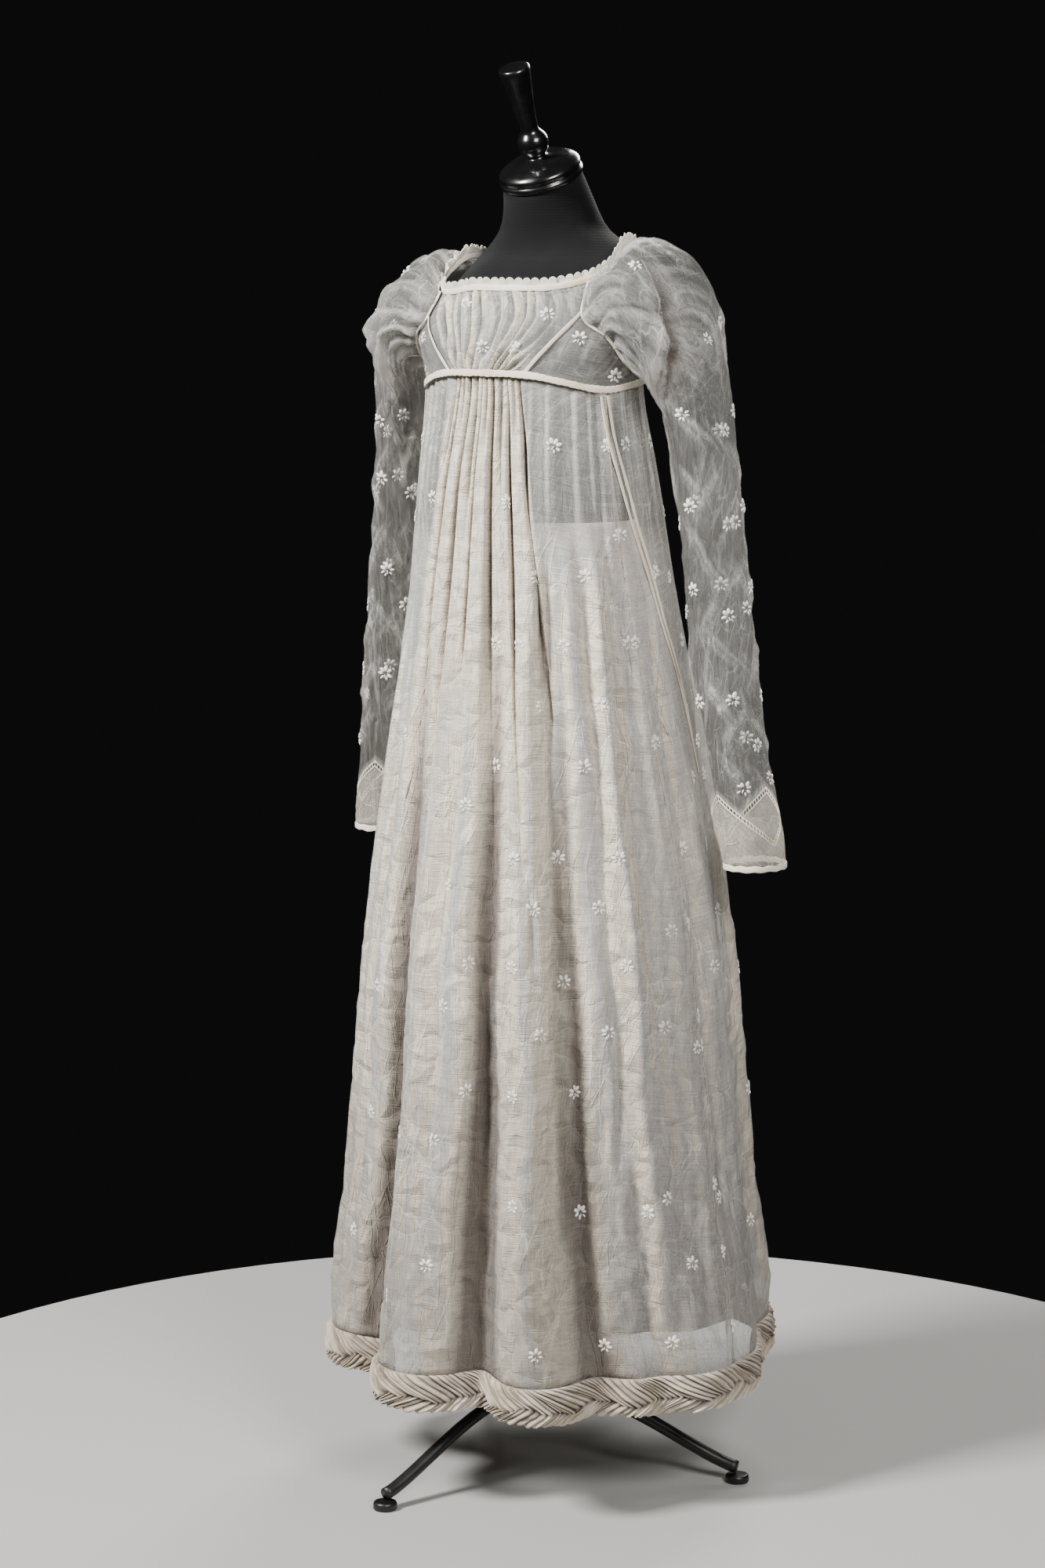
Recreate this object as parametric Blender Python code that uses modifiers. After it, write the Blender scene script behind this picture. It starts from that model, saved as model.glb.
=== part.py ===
"""A regency gown of sheer muslin, standing on a limbless dress form with a tripod.

The origin is on the floor under the middle of the whole. X runs to the wearer's left, -Y is the
gown's front and Z is up. The shapes are worked out round the torso's own upright axis, which
stands AXIS_FORWARD in front of the middle, because the skirt trails behind. Angles round the
body are in degrees: -90 is the centre front, 0 the wearer's left side, 90 the centre back.
Every cloth piece is an open surface worked out from the tables below and given its wall by
Solidify. Neighbouring pieces stop SEAM_GAP apart.
"""

import math
from collections import namedtuple

import bmesh
import bpy
import numpy as np

# ---- driving dimensions, in metres -------------------------------------------------------------
AXIS_FORWARD = 0.033
SEAM_GAP = 0.0003
CLOTH = 0.0014
TAPE_THICKNESS = 0.0010
TAPE_PROUD = CLOTH / 2 + SEAM_GAP + TAPE_THICKNESS / 2
WAIST_TAPE_LIFT = 0.0018
PRINCESS_TAPE_LIFT = 0.0012
PLACKET_TAPE_LIFT = 0.0014

HEM_HEIGHT = 0.118
TRIM_HEIGHT = 0.046
TRIM_THICKNESS = 0.010
TRIM_LOBES = 80
TRIM_LOBE_RELIEF = 0.0022

FRONT_PLEATS = 12
BACK_PLEATS = 8
BODICE_GATHERS = 12
BODICE_GATHER_DEPTH = 0.0012
PRINCESS_FOOT = -69
SIDE_SEAM = 2
BACK_SEAM_FOOT = 70

NECK_BAND_HEIGHT = 0.007
LACE_HEIGHT = 0.009
LACE_SCALLOPS = 40

WAIST_TAPE_WIDTH = 0.0076
PRINCESS_TAPE_WIDTH = 0.0045
PLACKET_TAPE_WIDTH = 0.0040
PLACKET_TAPE_SPACE = 0.0050

INSERTION_WIDTH = 0.008
CUFF_HEM = 0.742
CUFF_BAND_HEIGHT = 0.007
INSERTION_HEIGHT = 0.800
INSERTION_RISE = 0.027

UNDERSKIRT_TOP = 1.137
UNDERSKIRT_HEM = 0.212
UNDERSKIRT_INSET = 0.0075
UNDERSKIRT_FLARE = 0.20

NECK_LEAN = math.radians(25)
POLE_RADIUS = 0.0125
POLE_Y = -0.005
RIGHT_SHOULDER_DROP = 0.016
LEG_RADIUS = 0.0075
LEG_REACH = 0.245
LEG_RISE = 0.094
LEG_BOW = 1.3
LEG_ANGLES = (258.0, 18.0, 138.0)
FOOT_HEIGHT = 0.010
FOOT_RADIUS = 0.014

# ---- tables: one row for each level, fold or section -------------------------------------------
Level = namedtuple("Level", "height half_width front_depth back_depth centre_y")
SKIRT_LEVELS = (
    Level(1.320, 0.131, 0.101, 0.098, -0.012),
    Level(1.285, 0.134, 0.105, 0.102, -0.012),
    Level(1.200, 0.146, 0.123, 0.128, -0.009),
    Level(1.094, 0.158, 0.141, 0.152, -0.003),
    Level(0.963, 0.170, 0.160, 0.178, 0.002),
    Level(0.812, 0.190, 0.186, 0.208, 0.009),
    Level(0.624, 0.211, 0.211, 0.238, 0.012),
    Level(0.436, 0.227, 0.226, 0.262, 0.014),
    Level(0.342, 0.236, 0.235, 0.274, 0.014),
    Level(0.248, 0.250, 0.246, 0.290, 0.014),
    Level(0.164, 0.262, 0.253, 0.302, 0.014),
    Level(0.100, 0.266, 0.255, 0.306, 0.014),
)
BODICE_LEVELS = (
    Level(1.275, 0.130, 0.101, 0.098, -0.012),
    Level(1.306, 0.138, 0.105, 0.101, -0.011),
    Level(1.335, 0.147, 0.110, 0.105, -0.007),
    Level(1.360, 0.151, 0.107, 0.108, -0.003),
    Level(1.380, 0.149, 0.098, 0.109, 0.000),
    Level(1.400, 0.141, 0.086, 0.106, 0.002),
    Level(1.420, 0.129, 0.080, 0.098, 0.005),
    Level(1.450, 0.105, 0.074, 0.082, 0.008),
    Level(1.480, 0.095, 0.070, 0.078, 0.008),
)

Fold = namedtuple("Fold", "top_angle hem_angle start_height hem_depth hem_spread")
SKIRT_FOLDS = (
    Fold(-112, -126, 1.12, 0.062, 13.0),
    Fold(-76, -79, 1.17, 0.060, 9.5),
    Fold(-52, -41, 1.17, 0.046, 11.0),
    Fold(-33, -23, 0.70, 0.022, 7.0),
    Fold(24, 29, 1.14, 0.026, 13.0),
    Fold(72, 90, 1.16, 0.050, 10.0),
    Fold(104, 118, 1.12, 0.045, 10.0),
    Fold(146, 148, 1.14, 0.046, 11.0),
    Fold(178, 180, 1.00, 0.034, 10.0),
)

AngleHeight = namedtuple("AngleHeight", "angle height")
WAIST_SEAM = (
    AngleHeight(-90, 1.306),
    AngleHeight(-69, 1.305),
    AngleHeight(-24, 1.288),
    AngleHeight(8, 1.296),
    AngleHeight(45, 1.304),
    AngleHeight(90, 1.308),
)
NECKLINE = (
    AngleHeight(-90, 1.397),
    AngleHeight(-60, 1.399),
    AngleHeight(-43, 1.407),
    AngleHeight(0, 1.446),
    AngleHeight(45, 1.432),
    AngleHeight(65, 1.420),
    AngleHeight(90, 1.414),
)
ARMHOLE = (
    AngleHeight(-43, 1.407),
    AngleHeight(-46, 1.375),
    AngleHeight(-30, 1.345),
    AngleHeight(-14, 1.316),
    AngleHeight(2, 1.304),
    AngleHeight(18, 1.318),
    AngleHeight(34, 1.350),
    AngleHeight(44, 1.392),
    AngleHeight(45, 1.432),
)

# The sleeve head is sewn a little outside that armhole, and over the shoulder to the neck.
HeadSeam = namedtuple("HeadSeam", "turn angle height")
HEAD_SEAM = (
    HeadSeam(40, 45, 1.4335),
    HeadSeam(140, -43, 1.4085),
    HeadSeam(160, -46, 1.3760),
    HeadSeam(195, -30, 1.3465),
    HeadSeam(235, -14, 1.3175),
    HeadSeam(270, 2, 1.3055),
    HeadSeam(305, 18, 1.3195),
    HeadSeam(345, 34, 1.3510),
    HeadSeam(380, 44, 1.3930),
    HeadSeam(400, 45, 1.4335),
)
HEAD_NECK_TURN = 140
HEAD_NECK_LIFT = 0.0030
HEAD_SEAM_LIFT = 0.0024

# In and out folds in the first rings of the sleeve head.
HeadGather = namedtuple("HeadGather", "ring depth")
HEAD_GATHERS = (
    HeadGather(0, 0.0022),
    HeadGather(1, 0.0030),
    HeadGather(2, 0.0018),
    HeadGather(3, 0.0008),
)

PLACKET = (
    AngleHeight(27, 0.830),
    AngleHeight(14, 0.950),
    AngleHeight(-4, 1.090),
    AngleHeight(-17, 1.200),
    AngleHeight(-24, 1.281),
)

PleatDepth = namedtuple("PleatDepth", "height depth")
PLEAT_DEPTHS = (
    PleatDepth(1.306, 0.0012),
    PleatDepth(1.270, 0.0032),
    PleatDepth(1.200, 0.0050),
    PleatDepth(1.100, 0.0060),
    PleatDepth(0.950, 0.0048),
    PleatDepth(0.800, 0.0030),
    PleatDepth(0.600, 0.0014),
    PleatDepth(0.300, 0.0000),
    PleatDepth(0.100, 0.0000),
)
Spread = namedtuple("Spread", "height pleats_half panel_half")
FRONT_SPREAD = (
    Spread(1.306, 21.0, 66.0),
    Spread(1.200, 26.5, 68.0),
    Spread(1.100, 31.0, 71.0),
    Spread(0.950, 37.0, 76.0),
    Spread(0.800, 44.0, 82.0),
    Spread(0.600, 52.0, 88.0),
    Spread(0.300, 58.0, 90.0),
    Spread(0.100, 60.0, 90.0),
)
BACK_SPREAD = (
    Spread(1.306, 18.0, 34.0),
    Spread(1.200, 22.0, 34.5),
    Spread(1.100, 25.0, 36.0),
    Spread(0.950, 28.0, 38.0),
    Spread(0.800, 30.0, 40.0),
    Spread(0.600, 31.0, 41.0),
    Spread(0.300, 32.0, 42.0),
    Spread(0.100, 32.0, 42.0),
)

Ring = namedtuple("Ring", "outer_x outer_z inner_x inner_z centre_y half_depth")
SLEEVE_RINGS = (
    Ring(0.1500, 1.4540, 0.1560, 1.3000, 0.002, 0.082),
    Ring(0.1740, 1.4430, 0.1590, 1.2960, 0.005, 0.085),
    Ring(0.1940, 1.4170, 0.1625, 1.2900, 0.009, 0.080),
    Ring(0.2090, 1.3820, 0.1660, 1.2800, 0.013, 0.071),
    Ring(0.2210, 1.3380, 0.1690, 1.2650, 0.017, 0.060),
    Ring(0.2310, 1.2850, 0.1725, 1.2400, 0.020, 0.052),
    Ring(0.2380, 1.2250, 0.1780, 1.2020, 0.023, 0.046),
    Ring(0.2460, 1.1550, 0.1830, 1.1450, 0.026, 0.043),
    Ring(0.2570, 1.0500, 0.1910, 1.0450, 0.029, 0.042),
    Ring(0.2680, 0.9500, 0.1990, 0.9470, 0.033, 0.042),
    Ring(0.2830, 0.8500, 0.2090, 0.8480, 0.041, 0.043),
    Ring(0.2900, 0.8000, 0.2160, 0.7980, 0.046, 0.042),
    Ring(0.2980, 0.7400, 0.2300, 0.7390, 0.050, 0.040),
)

FormLevel = namedtuple("FormLevel", "height half_width half_depth centre_y lean")
FORM_LEVELS = (
    FormLevel(0.810, 0.110, 0.090, 0.012, 0.0),
    FormLevel(0.830, 0.134, 0.110, 0.010, 0.0),
    FormLevel(0.890, 0.140, 0.120, 0.006, 0.0),
    FormLevel(0.980, 0.136, 0.114, 0.002, 0.0),
    FormLevel(1.080, 0.124, 0.100, -0.002, 0.0),
    FormLevel(1.170, 0.117, 0.090, -0.006, 0.0),
    FormLevel(1.250, 0.119, 0.090, -0.010, 0.0),
    FormLevel(1.306, 0.127, 0.094, -0.010, 0.0),
    FormLevel(1.345, 0.140, 0.1063, -0.007, 0.0),
    FormLevel(1.378, 0.139, 0.0953, 0.002, 0.0),
    FormLevel(1.405, 0.128, 0.077, 0.007, 0.0),
    FormLevel(1.428, 0.109, 0.068, 0.012, 0.05),
    FormLevel(1.446, 0.0960, 0.058, 0.022, 0.12),
    FormLevel(1.466, 0.066, 0.053, 0.022, 0.25),
    FormLevel(1.492, 0.054, 0.050, 0.015, 0.60),
    FormLevel(1.522, 0.046, 0.046, 0.002, 1.0),
)

CapRow = namedtuple("CapRow", "radius height")
CAP_PROFILE = (
    CapRow(0.0000, 0.0000),
    CapRow(0.0460, 0.0000),
    CapRow(0.0490, 0.0020),
    CapRow(0.0490, 0.0070),
    CapRow(0.0465, 0.0090),
    CapRow(0.0480, 0.0130),
    CapRow(0.0460, 0.0180),
    CapRow(0.0380, 0.0225),
    CapRow(0.0220, 0.0255),
    CapRow(0.0110, 0.0290),
    CapRow(0.0145, 0.0350),
    CapRow(0.0180, 0.0430),
    CapRow(0.0170, 0.0520),
    CapRow(0.0105, 0.0600),
    CapRow(0.0120, 0.0880),
    CapRow(0.0184, 0.1320),
    CapRow(0.0174, 0.1370),
    CapRow(0.0000, 0.1395),
)
HUB_PROFILE = (
    CapRow(0.0000, 0.0750),
    CapRow(0.0200, 0.0750),
    CapRow(0.0270, 0.0820),
    CapRow(0.0270, 0.1060),
    CapRow(0.0235, 0.1165),
    CapRow(0.0170, 0.1300),
    CapRow(0.0000, 0.1300),
)

# ---- finishes ----------------------------------------------------------------------------------
Finish = namedtuple("Finish", "colour roughness metallic")
MUSLIN = Finish((0.80, 0.77, 0.70), 0.85, 0.0)
LINEN = Finish((0.74, 0.72, 0.69), 0.9, 0.0)
BRAID = Finish((0.78, 0.73, 0.63), 0.9, 0.0)
JERSEY = Finish((0.010, 0.010, 0.011), 0.8, 0.0)
LACQUER = Finish((0.008, 0.008, 0.009), 0.22, 0.0)
IRON = Finish((0.012, 0.012, 0.013), 0.4, 0.0)


# ---- reading the tables ------------------------------------------------------------------------
def column(table, name):
    return np.array([getattr(row, name) for row in table], float)


def read(table, key, name, at):
    """The named column at any value of the key column, on a smooth curve through the rows."""
    keys = column(table, key)
    values = column(table, name)
    if keys[0] > keys[-1]:
        keys = keys[::-1]
        values = values[::-1]
    slopes = np.gradient(values, keys)
    at = np.clip(at, keys[0], keys[-1])
    low = np.clip(np.searchsorted(keys, at, side="right") - 1, 0, len(keys) - 2)
    span = keys[low + 1] - keys[low]
    t = (at - keys[low]) / span
    rise = (2 * t**3 - 3 * t**2 + 1) * values[low] + (3 * t**2 - 2 * t**3) * values[low + 1]
    bend = (t**3 - 2 * t**2 + t) * slopes[low] + (t**3 - t**2) * slopes[low + 1]
    return rise + span * bend


def mirrored_angle(angle):
    """The angle with the wearer's right side turned onto the left, between -90 and 90."""
    turned = (np.asarray(angle, float) + 90) % 360 - 90
    return np.where(turned > 90, 180 - turned, turned)


def waist_height(angle):
    return read(WAIST_SEAM, "angle", "height", mirrored_angle(angle))


def neck_height(angle):
    return read(NECKLINE, "angle", "height", mirrored_angle(angle))


def ease(t):
    t = np.clip(t, 0, 1)
    return t * t * (3 - 2 * t)


# ---- the two body surfaces ---------------------------------------------------------------------
def body_point(levels, angle, height, inward=0.0):
    """A half ellipse in front and another behind, at this height, less an inward offset."""
    turn = np.radians(angle)
    front = read(levels, "height", "front_depth", height)
    back = read(levels, "height", "back_depth", height)
    depth = np.where(np.sin(turn) < 0, front, back) - inward
    width = read(levels, "height", "half_width", height) - inward
    x = width * np.cos(turn)
    y = read(levels, "height", "centre_y", height) + depth * np.sin(turn)
    return np.stack([x, y, np.broadcast_to(height, x.shape)], axis=-1)


def fold_depth(angle, height):
    """How far the deep folds draw the skirt in, each a soft valley that widens to the hem."""
    total = np.zeros(np.broadcast(angle, height).shape)
    for fold in SKIRT_FOLDS:
        down = (fold.start_height - height) / (fold.start_height - HEM_HEIGHT)
        grown = ease(down) ** 0.8
        middle = fold.top_angle + (fold.hem_angle - fold.top_angle) * np.clip(down, 0, 1)
        spread = fold.hem_spread * (0.5 + 0.5 * np.clip(down, 0, 1))
        away = (angle - middle + 180) % 360 - 180
        total = total + fold.hem_depth * grown * np.exp(-((away / spread) ** 2))
    return total


def pleat_depth(height):
    """The crest-to-centre depth of the pleats, by which every skirt panel is set in between them."""
    return read(PLEAT_DEPTHS, "height", "depth", height) * ease((1.32 - height) / 0.03)


def skirt_point(angle, height, inward=0.0):
    drawn_in = fold_depth(angle, height) + pleat_depth(height)
    return body_point(SKIRT_LEVELS, angle, height, inward + drawn_in)


def bodice_point(angle, height, inward=0.0):
    return body_point(BODICE_LEVELS, angle, height, inward)


def settled(points):
    """Lets the wearer's right shoulder hang a little lower than the left, form and cloth alike."""
    points = np.array(points, float)
    x = points[..., 0]
    z = points[..., 2]
    share = ease((-x - 0.03) / 0.08) * ease((z - 1.31) / 0.12)
    points[..., 2] = z - RIGHT_SHOULDER_DROP * share
    points[..., 0] = x + 0.5 * RIGHT_SHOULDER_DROP * share * ease((-x - 0.11) / 0.06)
    return points


# ---- making objects ----------------------------------------------------------------------------
def clear_scene():
    for thing in list(bpy.data.objects):
        bpy.data.objects.remove(thing, do_unlink=True)


def new_collection(name):
    made = bpy.data.collections.new(name)
    bpy.context.scene.collection.children.link(made)
    return made


def finish_material(name, finish):
    material = bpy.data.materials.new(name)
    material.use_nodes = True
    shader = material.node_tree.nodes["Principled BSDF"]
    shader.inputs["Base Color"].default_value = (*finish.colour, 1)
    shader.inputs["Roughness"].default_value = finish.roughness
    shader.inputs["Metallic"].default_value = finish.metallic
    return material


def add_object(name, mesh, finish):
    thing = bpy.data.objects.new(name, mesh)
    mesh.materials.append(finish_material(name, finish))
    mesh.shade_smooth()
    PARTS.objects.link(thing)
    thing.parent = ROOT
    return thing


def grid_mesh(name, points, closed_columns=False, closed_rows=False):
    """A mesh of quads over a rows-by-columns grid of points, joined round where it is closed."""
    rows, columns = points.shape[:2]
    index = np.arange(rows * columns).reshape(rows, columns)
    if closed_columns:
        index = np.concatenate([index, index[:, :1]], axis=1)
    if closed_rows:
        index = np.concatenate([index, index[:1]], axis=0)
    quads = np.stack([index[:-1, :-1], index[:-1, 1:], index[1:, 1:], index[1:, :-1]], axis=-1)
    mesh = bpy.data.meshes.new(name)
    mesh.from_pydata(settled(points).reshape(-1, 3).tolist(), [], quads.reshape(-1, 4).tolist())
    return mesh


def cloth(name, points, finish=MUSLIN, thickness=CLOTH, closed=False):
    """An open sheet over the grid, given an even wall on both sides of it."""
    thing = add_object(name, grid_mesh(name, points, closed_columns=closed), finish)
    wall = thing.modifiers.new("wall", "SOLIDIFY")
    wall.thickness = thickness
    wall.offset = 0
    return thing


def solid_ring(name, points, finish):
    """A closed band: each column of the grid is a closed section, and the columns close too."""
    return add_object(name, grid_mesh(name, points, True, True), finish)


# ---- skirt -------------------------------------------------------------------------------------
SKIRT_STEPS = np.array([0.0, 0.03, 0.08, 0.16, 0.27, 0.41, 0.57, 0.73, 0.87, 1.0])


def skirt_heights(angle):
    """Heights down the cloth at this angle, from under the waist tape to the top of the trim."""
    top = waist_height(angle) - SEAM_GAP / 2
    bottom = HEM_HEIGHT + TRIM_HEIGHT + SEAM_GAP
    return top + (bottom - top) * SKIRT_STEPS[:, None]


def panel_edge(spread, overlap):
    """Half the angle of a panel at every row, moved by half a seam gap."""
    level = WAIST_SEAM[0].height + (HEM_HEIGHT + TRIM_HEIGHT - WAIST_SEAM[0].height) * SKIRT_STEPS
    gap = math.degrees(SEAM_GAP / 2 / SKIRT_LEVELS[0].half_width)
    return read(spread, "height", "panel_half", level) + overlap * gap


def pleated_panel(name, spread, middle, pleats, side_columns):
    """A panel with close pleats in the middle of its top, which open out towards the hem."""
    inner = np.linspace(-1, 1, 4 * pleats + 1)
    outer = np.linspace(0, 1, side_columns + 1)[1:]
    share = np.concatenate([-1 - outer[::-1], inner, 1 + outer])
    across = np.broadcast_to(share, (len(SKIRT_STEPS), len(share)))
    level = WAIST_SEAM[0].height + (HEM_HEIGHT + TRIM_HEIGHT - WAIST_SEAM[0].height) * SKIRT_STEPS
    pleats_half = read(spread, "height", "pleats_half", level)[:, None]
    panel_half = panel_edge(spread, -1)[:, None]
    side = np.sign(across) * (pleats_half + (np.abs(across) - 1) * (panel_half - pleats_half))
    pleated = np.abs(across) <= 1
    angle = middle + np.where(pleated, across * pleats_half, side)
    height = skirt_heights(angle)
    uneven = across + 0.035 * np.sin(7 * across) * (1 - across**2)
    crest = np.where(pleated, np.cos(np.pi * pleats * (uneven + 1)), 1.0)
    return cloth(name, skirt_point(angle, height, (1 - crest) * pleat_depth(height)))


def plain_panel(name, left_edge, right_edge, columns):
    """A gore between two seams, each given by its angle at the height of every row."""
    share = np.linspace(0, 1, columns)
    angle = left_edge[:, None] + (right_edge - left_edge)[:, None] * share
    return cloth(name, skirt_point(angle, skirt_heights(angle)))


def make_skirt():
    pleated_panel("skirt_front", FRONT_SPREAD, -90, FRONT_PLEATS, 8)
    pleated_panel("skirt_back", BACK_SPREAD, 90, BACK_PLEATS, 4)
    front_edge = panel_edge(FRONT_SPREAD, 1)
    back_edge = panel_edge(BACK_SPREAD, 1)
    plain_panel("skirt_side_left", -90 + front_edge, 90 - back_edge, 13)
    plain_panel("skirt_side_right", 90 + back_edge, 270 - front_edge, 13)


def form_point(angle, height, outward):
    """A point outside the dress form's torso, on the straight lines between its levels."""
    turn = np.radians(angle)
    heights = column(FORM_LEVELS, "height")
    width = np.interp(height, heights, column(FORM_LEVELS, "half_width")) + outward
    depth = np.interp(height, heights, column(FORM_LEVELS, "half_depth")) + outward
    middle = np.interp(height, heights, column(FORM_LEVELS, "centre_y"))
    x, y, z = np.broadcast_arrays(width * np.cos(turn), middle + depth * np.sin(turn), height)
    return np.stack([x, y, z], axis=-1)


def make_underskirt():
    """The white under layer: held at the form's waist, then inside the skirt with the same folds."""
    angle = np.linspace(-180, 180, 48, endpoint=False)[None, :]
    share = np.array([0.0, 0.06, 0.14, 0.27, 0.48, 0.74, 1.0])[:, None]
    height = UNDERSKIRT_TOP + (UNDERSKIRT_HEM - UNDERSKIRT_TOP) * share + 0 * angle
    waist = form_point(angle, height, CLOTH / 2 + 2 * SEAM_GAP)
    inward = UNDERSKIRT_INSET + pleat_depth(height) + 0.25 * fold_depth(angle, height)
    hanging = skirt_point(angle, height, inward)
    flare = ease((UNDERSKIRT_TOP - height) / UNDERSKIRT_FLARE)[..., None]
    cloth("underskirt", waist + (hanging - waist) * flare, LINEN, closed=True)


def make_hem_trim():
    """A padded band round the hem, with slanting plaits in two rows and a scalloped lower edge."""
    columns = 2 * TRIM_LOBES
    angle = np.linspace(-180, 180, columns, endpoint=False)
    step = 1e-3
    middle_height = HEM_HEIGHT + TRIM_HEIGHT / 2
    here = skirt_point(angle, middle_height + 0 * angle)
    along = skirt_point(angle + step, middle_height + 0 * angle) - here
    along[:, 2] = 0
    along /= np.linalg.norm(along, axis=1, keepdims=True)
    outward = np.stack([along[:, 1], -along[:, 0], 0 * angle], axis=-1)
    plait = np.where(np.arange(columns) % 2 == 0, 1.0, -1.0)
    section = (
        (1.0, -0.6, 0.0),
        (1.0, 0.45, 0.0),
        (0.70, 1.0, 1.0),
        (0.28, 1.0, -1.0),
        (0.0, 0.25, -1.0),
        (0.25, -0.9, 0.0),
    )
    rows = []
    for up, out, relief in section:
        proud = out * TRIM_THICKNESS / 2 + relief * plait * TRIM_LOBE_RELIEF
        low_edge = (1 - up) * max(relief * -1, 0) * plait * TRIM_LOBE_RELIEF
        height = HEM_HEIGHT + up * (TRIM_HEIGHT - SEAM_GAP) + low_edge
        base = skirt_point(angle, middle_height + 0 * angle) + outward * proud[:, None]
        base[:, 2] = height
        rows.append(base)
    solid_ring("hem_trim", np.array(rows)[::-1], BRAID)


# ---- bodice ------------------------------------------------------------------------------------
BODICE_EDGE = SEAM_GAP / 2 + 0.0002
BODICE_EDGE_ANGLE = math.degrees(BODICE_EDGE / 0.12)


def patch(name, low, high, rows):
    """A bodice piece between a low edge and a high edge, each a list of (angle, height)."""
    low = np.asarray(low, float)
    high = np.asarray(high, float)
    plane = low + (high - low) * np.linspace(0, 1, rows)[:, None, None]
    return cloth(name, bodice_point(plane[..., 0], plane[..., 1]))


def centre_panel(name, middle, corners, columns, rows, gathers=0.0):
    """A front or back panel, whose side edges run through corners of (half angle, height).

    The edges' heights are shared out evenly, and a row is added at the middle corner. Gathers
    are in and out folds, deepest at the neck and waist, that die out at the side edges.
    """
    halves, heights = np.asarray(corners, float).T
    edge_height = np.unique(np.append(np.linspace(heights[0], heights[-1], rows), heights[1]))
    half = np.interp(edge_height, heights, halves)[:, None] - BODICE_EDGE_ANGLE
    share = np.linspace(-1, 1, columns)[None, :]
    up = ((edge_height - heights[0]) / (heights[-1] - heights[0]))[:, None]
    low = waist_height(middle + share * half[0]) + BODICE_EDGE
    high = neck_height(middle + share * half[-1]) - BODICE_EDGE
    wave = np.cos(np.pi * np.arange(columns))[None, :] * ease((1 - np.abs(share)) / 0.15)
    inward = -gathers * wave * (0.55 + 0.45 * np.cos(2 * np.pi * up))
    cloth(name, bodice_point(middle + share * half, low + (high - low) * up, inward))


def side_angles(panel, side):
    """Mirrors a list of (angle, height) to the wearer's right when side is -1."""
    if side > 0:
        return panel
    return [(180 - angle, height) for angle, height in panel][::-1]


def armhole_height(angle):
    """The height of the armhole seam at this angle, from the front junction to the back one."""
    rows = ARMHOLE[1:-1]
    return np.interp(angle, column(rows, "angle"), column(rows, "height"))


def make_bodice():
    edge = BODICE_EDGE
    edge_angle = BODICE_EDGE_ANGLE
    junction = ARMHOLE[1]
    front_corner = ARMHOLE[0]
    back_junction = ARMHOLE[-2]
    back_corner = ARMHOLE[-1]
    front_seam = (
        (PRINCESS_FOOT + 90, waist_height(PRINCESS_FOOT)),
        (junction.angle + 90, junction.height),
        (front_corner.angle + 90, front_corner.height),
    )
    columns = 2 * BODICE_GATHERS + 1
    centre_panel("bodice_front", -90, front_seam, columns, 5, gathers=BODICE_GATHER_DEPTH)
    back_seam = (
        (90 - BACK_SEAM_FOOT, waist_height(BACK_SEAM_FOOT)),
        (90 - back_junction.angle, back_junction.height),
        (90 - back_corner.angle, back_corner.height),
    )
    centre_panel("bodice_back", 90, back_seam, 13, 4)
    for side, word in ((1, "left"), (-1, "right")):
        share = np.linspace(0, 1, 9)
        first = PRINCESS_FOOT + edge_angle
        last = SIDE_SEAM - edge_angle
        top_first = junction.angle + edge_angle
        angles = first + (last - first) * share
        low = [(a, waist_height(a) + edge) for a in angles]
        angles = top_first + (last - top_first) * share
        high = [(a, armhole_height(a) - edge) for a in angles]
        patch("bodice_side_front_" + word, side_angles(low, side), side_angles(high, side), 5)
        first = SIDE_SEAM + edge_angle
        last = BACK_SEAM_FOOT - edge_angle
        top_last = back_junction.angle - edge_angle
        angles = first + (last - first) * share
        low = [(a, waist_height(a) + edge) for a in angles]
        angles = first + (top_last - first) * share
        high = [(a, armhole_height(a) - edge) for a in angles]
        patch("bodice_side_back_" + word, side_angles(low, side), side_angles(high, side), 5)


def make_neck_trims():
    """The narrow band round the neck and the scalloped lace that stands above it."""
    angle = np.linspace(-180, 180, 44, endpoint=False)[None, :]
    up = np.linspace(SEAM_GAP, NECK_BAND_HEIGHT, 2)[:, None]
    height = neck_height(angle) + up
    points = bodice_point(angle, neck_height(angle) + 0 * up)
    points[..., 2] = height
    cloth("neck_band", points, BRAID, closed=True, thickness=0.0016)
    columns = 2 * LACE_SCALLOPS
    angle = np.linspace(-180, 180, columns, endpoint=False)[None, :]
    scallop = np.where(np.arange(columns) % 2 == 0, 1.0, 0.72)[None, :]
    ruffle = np.where(np.arange(columns) % 4 < 2, 1.0, -1.0)[None, :]
    up = np.array([0.0, 1.0])[:, None]
    base = neck_height(angle)
    points = bodice_point(angle, base + 0 * up, 0.0012 * ruffle * up)
    points[..., 2] = base + NECK_BAND_HEIGHT + 2 * SEAM_GAP + up * LACE_HEIGHT * scallop
    cloth("neck_lace", points, BRAID, thickness=0.0010, closed=True)


def horizontal_out(points, centre_y=-0.01):
    away = points - np.array([0, centre_y, 0])
    away[..., 2] = 0
    return away / np.linalg.norm(away, axis=-1, keepdims=True)


def tape_along(name, middle, from_edge, to_edge):
    """A narrow tape beside a seam line, between two distances across it."""
    slope = np.gradient(middle, axis=0)
    slope /= np.linalg.norm(slope, axis=1, keepdims=True)
    across = np.cross(slope, horizontal_out(middle))
    points = np.stack([middle + across * from_edge, middle + across * to_edge])
    return cloth(name, points, BRAID, thickness=TAPE_THICKNESS)


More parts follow.
